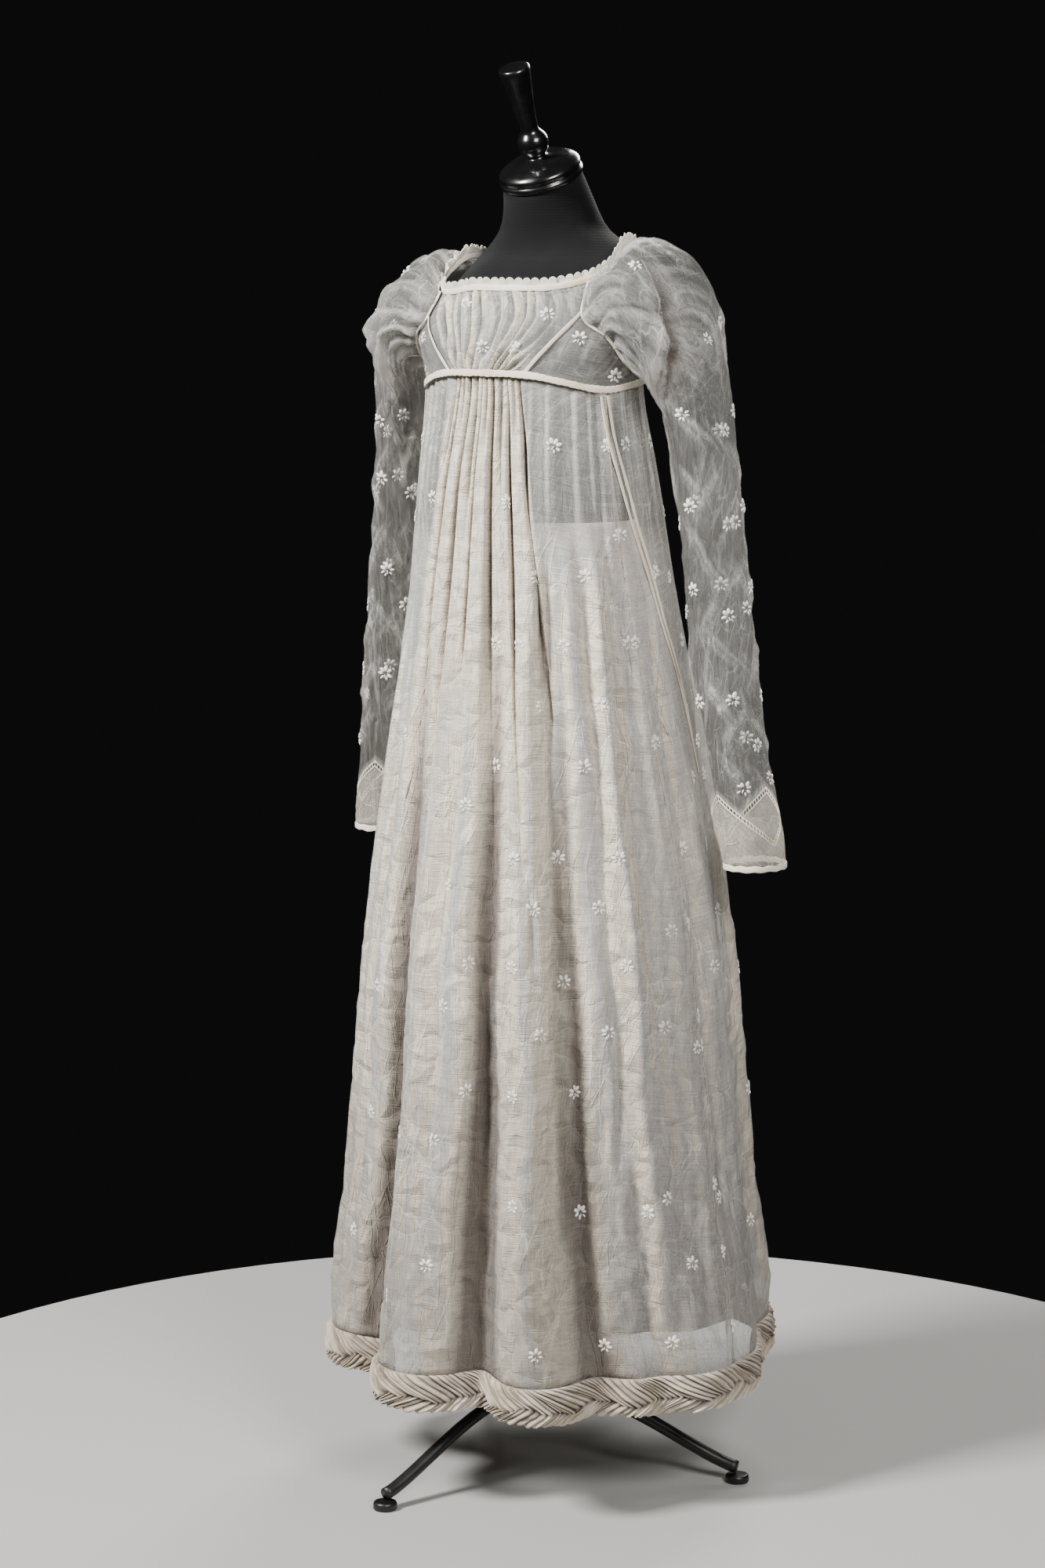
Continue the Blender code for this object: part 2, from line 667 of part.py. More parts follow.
def make_tapes():
    """The waist tape, the tapes on the front seams and the tapes of the two side openings."""
    angle = np.linspace(-180, 180, 48, endpoint=False)[None, :]
    up = np.array([[-0.5], [0.5]]) * WAIST_TAPE_WIDTH
    points = bodice_point(angle, waist_height(angle) + 0 * up, -TAPE_PROUD - WAIST_TAPE_LIFT)
    points[..., 2] = waist_height(angle) + up
    cloth("waist_tape", points, BRAID, thickness=TAPE_THICKNESS, closed=True)
    junction = ARMHOLE[1]
    foot = waist_height(PRINCESS_FOOT)
    share = np.linspace(0.07, 0.97, 9)
    half = PRINCESS_TAPE_WIDTH / 2
    for side, word in ((1, "left"), (-1, "right")):
        angle = PRINCESS_FOOT + (junction.angle - PRINCESS_FOOT) * share
        height = foot + (junction.height - foot) * share
        angle = angle if side > 0 else 180 - angle
        middle = bodice_point(angle, height, -TAPE_PROUD - PRINCESS_TAPE_LIFT)
        tape_along("princess_tape_" + word, middle, -half, half)
        height = np.linspace(PLACKET[-1].height, PLACKET[0].height, 12)
        angle = read(PLACKET, "height", "angle", height)
        angle = angle if side > 0 else 180 - angle
        middle = skirt_point(angle, height, -TAPE_PROUD - PLACKET_TAPE_LIFT)
        near = PLACKET_TAPE_SPACE / 2
        far = near + PLACKET_TAPE_WIDTH
        tape_along(f"placket_tape_{word}_front", middle, side * far, side * near)
        tape_along(f"placket_tape_{word}_back", middle, -side * near, -side * far)


# ---- sleeves -----------------------------------------------------------------------------------
SLEEVE_COLUMNS = 26


def sleeve_turn():
    """Angles round a sleeve ring: 90 is its outer side, 0 the back, 180 the front."""
    return np.linspace(0, 360, SLEEVE_COLUMNS, endpoint=False)


def sleeve_ring(outer_z, turn):
    """A point on the sleeve's ellipse whose outer end is at this height."""
    values = {}
    for name in ("outer_x", "inner_x", "inner_z", "centre_y", "half_depth"):
        values[name] = read(SLEEVE_RINGS, "outer_z", name, outer_z)
    out = np.sin(np.radians(turn)) * 0.5 + 0.5
    x = values["inner_x"] + (values["outer_x"] - values["inner_x"]) * out
    z = values["inner_z"] + (outer_z - values["inner_z"]) * out
    y = values["centre_y"] + values["half_depth"] * np.cos(np.radians(turn))
    return np.stack(np.broadcast_arrays(x, y, z), axis=-1)


def armhole_loop(turn):
    """The seam that the sleeve head is sewn to: over the shoulder, then down round the arm."""
    first = HEAD_SEAM[0].turn
    wrapped = (turn - first) % 360 + first
    angle = read(HEAD_SEAM, "turn", "angle", wrapped)
    at_neck = wrapped <= HEAD_NECK_TURN
    height = np.where(at_neck, neck_height(angle), read(HEAD_SEAM, "turn", "height", wrapped))
    outward = np.where(at_neck, HEAD_NECK_LIFT, HEAD_SEAM_LIFT)
    return bodice_point(angle, height, -outward)


def zigzag(turn):
    """The height of the insertion round the wrist: two peaks and two valleys."""
    wave = ((turn - 10) / 180) % 1.0
    return INSERTION_HEIGHT + INSERTION_RISE * (np.abs(wave - 0.5) * 4 - 1)


def sleeve_grid(tops, turn):
    """Rings whose outer ends are at these heights, set level where the sleeve hangs straight."""
    return np.array([sleeve_ring(top, turn) for top in tops])


def make_sleeves():
    turn = sleeve_turn()
    loop = armhole_loop(turn)
    gather = np.where(np.arange(SLEEVE_COLUMNS) % 2 == 0, 1.0, -1.0)
    upper = sleeve_grid(column(SLEEVE_RINGS[:10], "outer_z"), turn)
    for row in HEAD_GATHERS:
        away = upper[row.ring] - upper[row.ring].mean(axis=0)
        away /= np.linalg.norm(away, axis=1, keepdims=True)
        upper[row.ring] += away * (gather * row.depth)[:, None]
    bottom_z = zigzag(turn) + INSERTION_WIDTH / 2 + SEAM_GAP / 2
    last = sleeve_ring(0.85, turn)
    middle = last.copy()
    middle[:, 2] = 0.5 * (upper[-1][:, 2] + bottom_z)
    middle[:, :2] = 0.5 * (upper[-1][:, :2] + last[:, :2])
    lower = sleeve_ring(bottom_z, turn)
    lower[:, 2] = bottom_z
    sleeve = np.concatenate([loop[None], upper, middle[None], lower[None]])
    edges = (INSERTION_WIDTH / 2 - SEAM_GAP / 2, -INSERTION_WIDTH / 2 + SEAM_GAP / 2)
    insertion = np.array([sleeve_ring(zigzag(turn) + e, turn) for e in edges])
    insertion[..., 2] = np.array([zigzag(turn) + e for e in edges])
    top = zigzag(turn) - INSERTION_WIDTH / 2 - SEAM_GAP / 2
    band_top = CUFF_HEM + CUFF_BAND_HEIGHT
    cuff_heights = np.array([top, 0 * top + band_top + SEAM_GAP])
    cuff = np.array([sleeve_ring(z, turn) for z in cuff_heights])
    cuff[..., 2] = cuff_heights
    band_heights = np.array([0 * top + band_top, 0 * top + CUFF_HEM])
    band = np.array([sleeve_ring(z, turn) for z in band_heights])
    band[..., 2] = band_heights
    for side, word in ((1, "left"), (-1, "right")):
        for name, points, finish in (
            ("sleeve_", sleeve, MUSLIN),
            ("insertion_", insertion, BRAID),
            ("cuff_", cuff, MUSLIN),
            ("cuff_band_", band, BRAID),
        ):
            placed = points * np.array([side, 1, 1])
            cloth(name + word, placed[:, ::side], finish, closed=True)


# ---- dress form and stand ----------------------------------------------------------------------
def make_form():
    turn = np.radians(np.linspace(0, 360, 22, endpoint=False))
    rings = []
    for level in FORM_LEVELS:
        lean = level.lean * NECK_LEAN
        across = level.half_depth * np.sin(turn)
        x = level.half_width * np.cos(turn)
        y = level.centre_y + across * math.cos(lean)
        z = level.height + across * math.sin(lean)
        rings.append(np.stack([x, y, z], axis=-1))
    points = np.array(rings)
    mesh = grid_mesh("form_torso", points, closed_columns=True)
    thing = add_object("form_torso", mesh, JERSEY)
    cap_ends(thing, len(turn), len(FORM_LEVELS))


def cap_ends(thing, columns, rows):
    """Closes the first and the last ring of a tube with a flat face each."""
    work = bmesh.new()
    work.from_mesh(thing.data)
    work.verts.ensure_lookup_table()
    work.faces.new([work.verts[i] for i in reversed(range(columns))])
    start = (rows - 1) * columns
    work.faces.new([work.verts[start + i] for i in range(columns)])
    bmesh.ops.recalc_face_normals(work, faces=work.faces)
    work.to_mesh(thing.data)
    work.free()


def turned(name, profile, steps, finish):
    """A turned piece: the profile runs down its outer side and is screwed round Z."""
    mesh = bpy.data.meshes.new(name)
    points = [(row.radius, 0, row.height) for row in reversed(profile)]
    mesh.from_pydata(points, [(i, i + 1) for i in range(len(points) - 1)], [])
    thing = add_object(name, mesh, finish)
    screw = thing.modifiers.new("turn", "SCREW")
    screw.steps = steps
    screw.render_steps = steps
    screw.use_merge_vertices = True
    screw.merge_threshold = 0.00001
    return thing


def cylinder(name, radius, low, high, x, y, finish, sides=16):
    bpy.ops.mesh.primitive_cylinder_add(
        vertices=sides, radius=radius, depth=high - low, location=(x, y, (low + high) / 2)
    )
    thing = bpy.context.object
    thing.name = name
    thing.data.name = name
    thing.data.materials.append(finish_material(name, finish))
    for holder in list(thing.users_collection):
        holder.objects.unlink(thing)
    PARTS.objects.link(thing)
    thing.data.shade_smooth()
    thing.data.set_sharp_from_angle(angle=math.radians(40))
    thing.parent = ROOT
    return thing


def make_cap():
    top = FORM_LEVELS[-1]
    cap = turned("neck_cap", CAP_PROFILE, 18, LACQUER)
    out = np.array([0, -math.sin(NECK_LEAN), math.cos(NECK_LEAN)]) * SEAM_GAP
    cap.location = (0, top.centre_y + out[1], top.height + out[2])
    cap.rotation_euler = (NECK_LEAN, 0, 0)


def make_stand():
    bottom = FORM_LEVELS[0].height - SEAM_GAP
    hub = turned("stand_hub", HUB_PROFILE, 16, IRON)
    hub.location = (0, POLE_Y, 0)
    hub_top = HUB_PROFILE[-1].height + SEAM_GAP
    cylinder("stand_pole", POLE_RADIUS, hub_top, bottom, 0, POLE_Y, IRON)
    for number, degrees in enumerate(LEG_ANGLES, start=1):
        turn = math.radians(degrees)
        share = np.linspace(0, 1, 9)
        start = column(HUB_PROFILE, "radius").max() + 2 * SEAM_GAP
        reach = start + (LEG_REACH - start) * share
        low = FOOT_HEIGHT + LEG_RADIUS
        rise = low + (LEG_RISE - low) * np.cos(np.pi / 2 * share) ** LEG_BOW
        curve = bpy.data.curves.new(f"stand_leg_{number}", "CURVE")
        curve.dimensions = "3D"
        curve.bevel_depth = LEG_RADIUS
        curve.bevel_resolution = 2
        curve.use_fill_caps = True
        curve.twist_mode = "Z_UP"
        spline = curve.splines.new("POLY")
        spline.points.add(len(share) - 1)
        for point, r, z in zip(spline.points, reach, rise):
            point.co = (r * math.cos(turn), POLE_Y + r * math.sin(turn), z, 1)
        leg = bpy.data.objects.new(f"stand_leg_{number}", curve)
        curve.materials.append(finish_material(leg.name, IRON))
        PARTS.objects.link(leg)
        leg.parent = ROOT
        foot_x = LEG_REACH * math.cos(turn)
        foot_y = POLE_Y + LEG_REACH * math.sin(turn)
        top = FOOT_HEIGHT - SEAM_GAP
        cylinder(f"stand_foot_{number}", FOOT_RADIUS, 0, top, foot_x, foot_y, IRON, 12)


# ---- assembly ----------------------------------------------------------------------------------
clear_scene()
PARTS = new_collection("regency_gown")
ROOT = bpy.data.objects.new("regency_gown_root", None)
ROOT.location = (0, -AXIS_FORWARD, 0)
PARTS.objects.link(ROOT)
make_form()
make_cap()
make_stand()
make_underskirt()
make_skirt()
make_hem_trim()
make_bodice()
make_neck_trims()
make_tapes()
make_sleeves()
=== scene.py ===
"""The looks of a regency gown of sheer sprigged muslin on a limbless dress form and a tripod."""

import math
from collections import namedtuple

import bmesh
import bpy
import numpy as np
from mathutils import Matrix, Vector


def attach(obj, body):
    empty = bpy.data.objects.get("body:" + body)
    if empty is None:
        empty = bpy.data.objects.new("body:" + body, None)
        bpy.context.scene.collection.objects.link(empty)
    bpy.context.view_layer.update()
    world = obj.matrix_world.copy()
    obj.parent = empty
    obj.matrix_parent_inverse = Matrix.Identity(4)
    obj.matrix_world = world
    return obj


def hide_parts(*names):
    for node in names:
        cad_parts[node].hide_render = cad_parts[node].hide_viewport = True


bl_info = {
    "name": "Regency Gown Looks",
    "version": (1, 0, 0),
    "blender": (4, 5, 0),
    "location": "View3D > Sidebar > Gown",
    "description": "Builds the cloth, trims, dress form and stand of a regency gown on its solid frame",
    "category": "Object",
}

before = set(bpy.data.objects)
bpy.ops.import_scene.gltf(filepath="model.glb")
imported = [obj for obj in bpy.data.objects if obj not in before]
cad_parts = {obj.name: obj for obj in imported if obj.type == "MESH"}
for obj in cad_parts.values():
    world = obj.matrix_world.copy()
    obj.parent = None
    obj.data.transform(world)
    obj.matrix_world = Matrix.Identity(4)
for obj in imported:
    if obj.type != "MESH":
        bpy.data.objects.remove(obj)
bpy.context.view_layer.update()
BODY = "root"
SIDES = ((1, "left"), (-1, "right"))


def table(columns, *rows):
    """A table with named columns."""
    kind = namedtuple("Row", columns)
    return tuple(kind(*row) for row in rows)


# ---- shared sizes, in metres, as in the solids -------------------------------------------------
AXIS_FORWARD = 0.033
SHELL = 0.0005
UNDERSKIRT_WALL = 0.0007
LACE_WALL = 0.0008
HEM_HEIGHT = 0.118
TRIM_HEIGHT = 0.046
FRONT_PLEATS = 12
BACK_PLEATS = 8
NECK_BAND_HEIGHT = 0.007
LACE_HEIGHT = 0.009
LACE_SCALLOPS = 84
PLACKET_TAPE_SPACE = 0.0050
INSERTION_WIDTH = 0.008
CUFF_HEM = 0.742
CUFF_BAND_HEIGHT = 0.007
INSERTION_HEIGHT = 0.800
INSERTION_RISE = 0.027
UNDERSKIRT_TOP = 1.137
UNDERSKIRT_HEM = 0.212
UNDERSKIRT_INSET = 0.0075
UNDERSKIRT_FLARE = 0.20
NECK_LEAN = math.radians(25)
POLE_RADIUS = 0.0125
POLE_Y = -0.005
RIGHT_SHOULDER_DROP = 0.016
LEG_RADIUS = 0.0075
LEG_REACH = 0.245
LEG_ANGLES = (258.0, 18.0, 138.0)
FOOT_HEIGHT = 0.010

SKIRT_LEVELS = table(
    "height half_width front_depth back_depth centre_y",
    (1.320, 0.131, 0.101, 0.098, -0.012),
    (1.285, 0.134, 0.105, 0.102, -0.012),
    (1.200, 0.146, 0.123, 0.128, -0.009),
    (1.094, 0.158, 0.141, 0.152, -0.003),
    (0.963, 0.170, 0.160, 0.178, 0.002),
    (0.812, 0.190, 0.186, 0.208, 0.009),
    (0.624, 0.211, 0.211, 0.238, 0.012),
    (0.436, 0.227, 0.226, 0.262, 0.014),
    (0.342, 0.236, 0.235, 0.274, 0.014),
    (0.248, 0.250, 0.246, 0.290, 0.014),
    (0.164, 0.262, 0.253, 0.302, 0.014),
    (0.100, 0.266, 0.255, 0.306, 0.014),
)
BODICE_LEVELS = table(
    "height half_width front_depth back_depth centre_y",
    (1.275, 0.130, 0.101, 0.098, -0.012),
    (1.306, 0.138, 0.105, 0.101, -0.011),
    (1.335, 0.147, 0.110, 0.105, -0.007),
    (1.360, 0.151, 0.107, 0.108, -0.003),
    (1.380, 0.149, 0.098, 0.109, 0.000),
    (1.400, 0.141, 0.086, 0.106, 0.002),
    (1.420, 0.129, 0.080, 0.098, 0.005),
    (1.450, 0.105, 0.074, 0.082, 0.008),
    (1.480, 0.095, 0.070, 0.078, 0.008),
)
SKIRT_FOLDS = table(
    "top_angle hem_angle start_height hem_depth hem_spread",
    (-112, -126, 1.12, 0.062, 13.0),
    (-76, -79, 1.17, 0.060, 9.5),
    (-52, -41, 1.17, 0.046, 11.0),
    (-33, -23, 0.70, 0.022, 7.0),
    (24, 29, 1.14, 0.026, 13.0),
    (72, 90, 1.16, 0.050, 10.0),
    (104, 118, 1.12, 0.045, 10.0),
    (146, 148, 1.14, 0.046, 11.0),
    (178, 180, 1.00, 0.034, 10.0),
)
WAIST_SEAM = table(
    "angle height",
    (-90, 1.306),
    (-69, 1.305),
    (-24, 1.288),
    (8, 1.296),
    (45, 1.304),
    (90, 1.308),
)
NECKLINE = table(
    "angle height",
    (-90, 1.397),
    (-60, 1.399),
    (-43, 1.407),
    (0, 1.446),
    (45, 1.432),
    (65, 1.420),
    (90, 1.414),
)
ARMHOLE = table(
    "angle height",
    (-43, 1.407),
    (-46, 1.375),
    (-30, 1.345),
    (-14, 1.316),
    (2, 1.304),
    (18, 1.318),
    (34, 1.350),
    (44, 1.392),
    (45, 1.432),
)
PLACKET = table(
    "angle height",
    (27, 0.830),
    (14, 0.950),
    (-4, 1.090),
    (-17, 1.200),
    (-24, 1.281),
)
PLEAT_DEPTHS = table(
    "height depth",
    (1.306, 0.0012),
    (1.270, 0.0032),
    (1.200, 0.0050),
    (1.100, 0.0060),
    (0.950, 0.0048),
    (0.800, 0.0030),
    (0.600, 0.0014),
    (0.300, 0.0000),
    (0.100, 0.0000),
)
FRONT_SPREAD = table(
    "height pleats_half panel_half",
    (1.306, 21.0, 66.0),
    (1.200, 26.5, 68.0),
    (1.100, 31.0, 71.0),
    (0.950, 37.0, 76.0),
    (0.800, 44.0, 82.0),
    (0.600, 52.0, 88.0),
    (0.300, 58.0, 90.0),
    (0.100, 60.0, 90.0),
)
BACK_SPREAD = table(
    "height pleats_half panel_half",
    (1.306, 18.0, 34.0),
    (1.200, 22.0, 34.5),
    (1.100, 25.0, 36.0),
    (0.950, 28.0, 38.0),
    (0.800, 30.0, 40.0),
    (0.600, 31.0, 41.0),
    (0.300, 32.0, 42.0),
    (0.100, 32.0, 42.0),
)
SLEEVE_RINGS = table(
    "outer_x outer_z inner_x inner_z centre_y half_depth",
    (0.1500, 1.4540, 0.1560, 1.3000, 0.002, 0.082),
    (0.1740, 1.4430, 0.1590, 1.2960, 0.005, 0.085),
    (0.1940, 1.4170, 0.1625, 1.2900, 0.009, 0.080),
    (0.2090, 1.3820, 0.1660, 1.2800, 0.013, 0.071),
    (0.2210, 1.3380, 0.1690, 1.2650, 0.017, 0.060),
    (0.2310, 1.2850, 0.1725, 1.2400, 0.020, 0.052),
    (0.2380, 1.2250, 0.1780, 1.2020, 0.023, 0.046),
    (0.2460, 1.1550, 0.1830, 1.1450, 0.026, 0.043),
    (0.2570, 1.0500, 0.1910, 1.0450, 0.029, 0.042),
    (0.2680, 0.9500, 0.1990, 0.9470, 0.033, 0.042),
    (0.2830, 0.8500, 0.2090, 0.8480, 0.041, 0.043),
    (0.2900, 0.8000, 0.2160, 0.7980, 0.046, 0.042),
    (0.2980, 0.7400, 0.2300, 0.7390, 0.050, 0.040),
)
FORM_LEVELS = table(
    "height half_width half_depth centre_y lean",
    (0.810, 0.110, 0.090, 0.012, 0.0),
    (0.830, 0.134, 0.110, 0.010, 0.0),
    (0.890, 0.140, 0.120, 0.006, 0.0),
    (0.980, 0.136, 0.114, 0.002, 0.0),
    (1.080, 0.124, 0.100, -0.002, 0.0),
    (1.170, 0.117, 0.090, -0.006, 0.0),
    (1.250, 0.119, 0.090, -0.010, 0.0),
    (1.306, 0.127, 0.094, -0.010, 0.0),
    (1.345, 0.140, 0.1063, -0.007, 0.0),
    (1.378, 0.139, 0.0953, 0.002, 0.0),
    (1.405, 0.128, 0.077, 0.007, 0.0),
    (1.428, 0.109, 0.068, 0.012, 0.05),
    (1.446, 0.096, 0.058, 0.022, 0.12),
    (1.466, 0.066, 0.053, 0.022, 0.25),
    (1.492, 0.054, 0.050, 0.015, 0.60),
    (1.522, 0.046, 0.046, 0.002, 1.0),
)
CAP_PROFILE = table(
    "radius height",
    (0.0000, 0.0000),
    (0.0450, 0.0000),
    (0.0478, 0.0008),
    (0.0490, 0.0035),
    (0.0488, 0.0065),
    (0.0472, 0.0082),
    (0.0464, 0.0092),
    (0.0474, 0.0106),
    (0.0480, 0.0130),
    (0.0475, 0.0160),
    (0.0440, 0.0195),
    (0.0370, 0.0228),
    (0.0270, 0.0250),
    (0.0170, 0.0266),
    (0.0115, 0.0285),
    (0.0113, 0.0305),
    (0.0138, 0.0335),
    (0.0165, 0.0375),
    (0.0180, 0.0430),
    (0.0180, 0.0480),
    (0.0165, 0.0530),
    (0.0135, 0.0570),
    (0.0110, 0.0600),
    (0.0103, 0.0640),
    (0.0110, 0.0760),
    (0.0124, 0.0900),
    (0.0144, 0.1060),
    (0.0167, 0.1220),
    (0.0183, 0.1320),
    (0.0183, 0.1350),
    (0.0176, 0.1372),
    (0.0160, 0.1384),
    (0.0000, 0.1395),
)
HUB_PROFILE = table(
    "radius height",
    (0.0000, 0.0750),
    (0.0200, 0.0750),
    (0.0270, 0.0820),
    (0.0270, 0.1060),
    (0.0235, 0.1165),
    (0.0170, 0.1300),
    (0.0000, 0.1300),
)
LEG_RISE = 0.094
LEG_BOW = 1.3


# ---- reading the tables ------------------------------------------------------------------------
def column(table, name):
    return np.array([getattr(row, name) for row in table], float)


def cubic(values, slopes, low, span, t):
    """A curve from each value to the next one that leaves and arrives at their slopes."""
    rise = (2 * t**3 - 3 * t**2 + 1) * values[low] + (3 * t**2 - 2 * t**3) * values[low + 1]
    bend = (t**3 - 2 * t**2 + t) * slopes[low] + (t**3 - t**2) * slopes[low + 1]
    return rise + span * bend


def read(table, key, name, at):
    """The named column at any value of the key column, on a smooth curve through the rows."""
    keys = column(table, key)
    values = column(table, name)
    if keys[0] > keys[-1]:
        keys = keys[::-1]
        values = values[::-1]
    slopes = np.gradient(values, keys)
    at = np.clip(at, keys[0], keys[-1])
    low = np.clip(np.searchsorted(keys, at, side="right") - 1, 0, len(keys) - 2)
    span = keys[low + 1] - keys[low]
    return cubic(values, slopes, low, span, (at - keys[low]) / span)


def mirrored_angle(angle):
    """The angle with the wearer's right side turned onto the left, between -90 and 90."""
    turned = (np.asarray(angle, float) + 90) % 360 - 90
    return np.where(turned > 90, 180 - turned, turned)


def waist_height(angle):
    return read(WAIST_SEAM, "angle", "height", mirrored_angle(angle))


def neck_height(angle):
    return read(NECKLINE, "angle", "height", mirrored_angle(angle))


def armhole_height(angle):
    rows = ARMHOLE[1:8]
    return np.interp(angle, column(rows, "angle"), column(rows, "height"))


def ease(t):
    t = np.clip(t, 0, 1)
    return t * t * (3 - 2 * t)


def off_middle(angle, middle):
    """Degrees from the middle to the angle, the short way round."""
    return (angle - middle + 180) % 360 - 180


def bell(off, width):
    return np.exp(-((off / width) ** 2))


def unit(vectors):
    return vectors / np.linalg.norm(vectors, axis=-1, keepdims=True)


# ---- the two body surfaces ---------------------------------------------------------------------
def body_point(levels, angle, height, inward=0.0):
    """A half ellipse in front and another behind, at this height, less an inward offset."""
    turn = np.radians(angle)
    front = read(levels, "height", "front_depth", height)
    back = read(levels, "height", "back_depth", height)
    depth = np.where(np.sin(turn) < 0, front, back) - inward
    width = read(levels, "height", "half_width", height) - inward
    x = width * np.cos(turn)
    y = read(levels, "height", "centre_y", height) + depth * np.sin(turn)
    return np.stack([x, y, np.broadcast_to(height, x.shape)], axis=-1)


def fold_depth(angle, height):
    """The sum of the deep folds: each a bell curve of the angle off its middle, widening downwards."""
    total = np.zeros(np.broadcast(angle, height).shape)
    for fold in SKIRT_FOLDS:
        down = (fold.start_height - height) / (fold.start_height - HEM_HEIGHT)
        grown = ease(down) ** 0.8
        middle = fold.top_angle + (fold.hem_angle - fold.top_angle) * np.clip(down, 0, 1)
        spread = fold.hem_spread * (0.5 + 0.5 * np.clip(down, 0, 1))
        total = total + fold.hem_depth * grown * bell(off_middle(angle, middle), spread)
    return total


def pleat_depth(height):
    return read(PLEAT_DEPTHS, "height", "depth", height) * ease((1.32 - height) / 0.03)


def skirt_point(angle, height, inward=0.0):
    """The body surface drawn in by the deep folds and by the depth of the pleats."""
    drawn_in = fold_depth(angle, height) + pleat_depth(height)
    return body_point(SKIRT_LEVELS, angle, height, inward + drawn_in)


def bodice_point(angle, height, inward=0.0):
    return body_point(BODICE_LEVELS, angle, height, inward)


def settled(points):
    """The wearer's right shoulder lowered, and every point moved from the torso's axis to the middle."""
    points = np.array(points, float)
    x = points[..., 0]
    z = points[..., 2]
    share = ease((-x - 0.03) / 0.08) * ease((z - 1.31) / 0.12)
    points[..., 2] = z - RIGHT_SHOULDER_DROP * share
    points[..., 0] = x + 0.5 * RIGHT_SHOULDER_DROP * share * ease((-x - 0.11) / 0.06)
    points[..., 1] = points[..., 1] - AXIS_FORWARD
    return points


# ---- small unevenness --------------------------------------------------------------------------
def lattice_noise(points, cell, seed):
    """Values between -1 and 1: random numbers on a cubic lattice, eased from corner to corner."""
    table = np.random.default_rng(seed).uniform(-1, 1, (32, 32, 32))
    place = points / np.asarray(cell, float)
    low = np.floor(place).astype(int)
    t = place - low
    t = t * t * (3 - 2 * t)
    total = 0.0
    for i in (0, 1):
        for j in (0, 1):
            for k in (0, 1):
                corner = table[(low[..., 0] + i) % 32, (low[..., 1] + j) % 32, (low[..., 2] + k) % 32]
                share = np.where(i, t[..., 0], 1 - t[..., 0])
                share = share * np.where(j, t[..., 1], 1 - t[..., 1])
                total = total + corner * share * np.where(k, t[..., 2], 1 - t[..., 2])
    return total


# Crumples: how far they stand out, the size of a cell round, in depth and up, and a seed.
CRUMPLES = table(
    "name relief x y z seed",
    ("old folds", 0.0014, 0.024, 0.024, 0.170, 11),
    ("skirt", 0.0024, 0.018, 0.018, 0.026, 23),
    ("under layer", 0.0008, 0.030, 0.030, 0.090, 41),
    ("bodice", 0.0006, 0.012, 0.012, 0.018, 61),
    ("sleeve", 0.0016, 0.020, 0.020, 0.040, 71),
    ("sleeve, fine", 0.0009, 0.011, 0.011, 0.015, 74),
    ("cuff", 0.0018, 0.014, 0.014, 0.020, 91),
)


def crumple(points, name, more_seed=0):
    """Soft ridges of pressed cloth: one less twice the size of a noise, with a finer one on top."""
    row = next(row for row in CRUMPLES if row.name == name)
    cell = np.array([row.x, row.y, row.z])
    seed = row.seed + more_seed
    warp = np.stack([lattice_noise(points, cell * 1.7, seed + n) for n in (5, 6, 7)], axis=-1)
    moved = points + warp * cell * 0.6
    coarse = 1 - 2 * np.sqrt(lattice_noise(moved, cell, seed) ** 2 + 0.012)
    fine = 1 - 2 * np.sqrt(lattice_noise(moved, cell * 0.47, seed + 1) ** 2 + 0.012)
    return row.relief * (0.7 * coarse + 0.3 * fine)


CREASE_BOW = 0.12


def one_crease(crease, across, up, lean, bow):
    """A bell curve across a leaning, bowed line, fading out along it. A negative depth is a trough."""
    along = across * math.sin(lean) + up * math.cos(lean)
    off = across * math.cos(lean) - up * math.sin(lean) - bow * along**2 / crease.length
    fade = ease(1.15 - np.abs(along) / crease.length * 2)
    return crease.depth * fade * bell(off, crease.width)


def creases(table, angle, height, radius, bow=CREASE_BOW):
    """The sum of the listed creases. The lean is degrees from upright, towards growing angles."""
    total = np.zeros(np.broadcast(angle, height).shape)
    for crease in table:
        across = np.radians(off_middle(angle, crease.angle)) * radius
        lean = math.radians(crease.lean)
        total = total + one_crease(crease, across, height - crease.height, lean, bow)
    return total


# ---- making meshes -----------------------------------------------------------------------------
def gradient(points, axis, closed):
    if closed:
        return (np.roll(points, -1, axis) - np.roll(points, 1, axis)) / 2
    return np.gradient(points, axis=axis)


def normals_of(points, middle, closed=False):
    """Unit normals of a grid, from the cross product of its two directions, facing off the middle."""
    down = gradient(points, 0, False)
    along = gradient(points, 1, closed)
    normal = np.cross(down, along)
    normal /= np.linalg.norm(normal, axis=-1, keepdims=True) + 1e-12
    off = points - middle
    if (normal * off).sum() < 0:
        normal = -normal
    return normal


def lengths_along(points, axis):
    """Distance in metres from the first row or column, summed step by step."""
    steps = np.linalg.norm(np.diff(points, axis=axis), axis=-1)
    zero = np.zeros_like(np.take(steps, [0], axis=axis))
    return np.concatenate([zero, np.cumsum(steps, axis=axis)], axis=axis)


def sew(mesh):
    """Joins the points that meet at a pole, at a drawn-together end or where a ring closes."""
    shape = bmesh.new()
    shape.from_mesh(mesh)
    bmesh.ops.remove_doubles(shape, verts=shape.verts, dist=1e-6)
    shape.to_mesh(mesh)
    shape.free()


def new_object(name, mesh, material):
    thing = bpy.data.objects.new(name, mesh)
    mesh.materials.append(material)
    bpy.context.scene.collection.objects.link(thing)
    mesh.shade_smooth()
    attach(thing, BODY)
    return thing


def stand_in(thing, node):
    """Hides the node whose place the piece takes."""
    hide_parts(node)


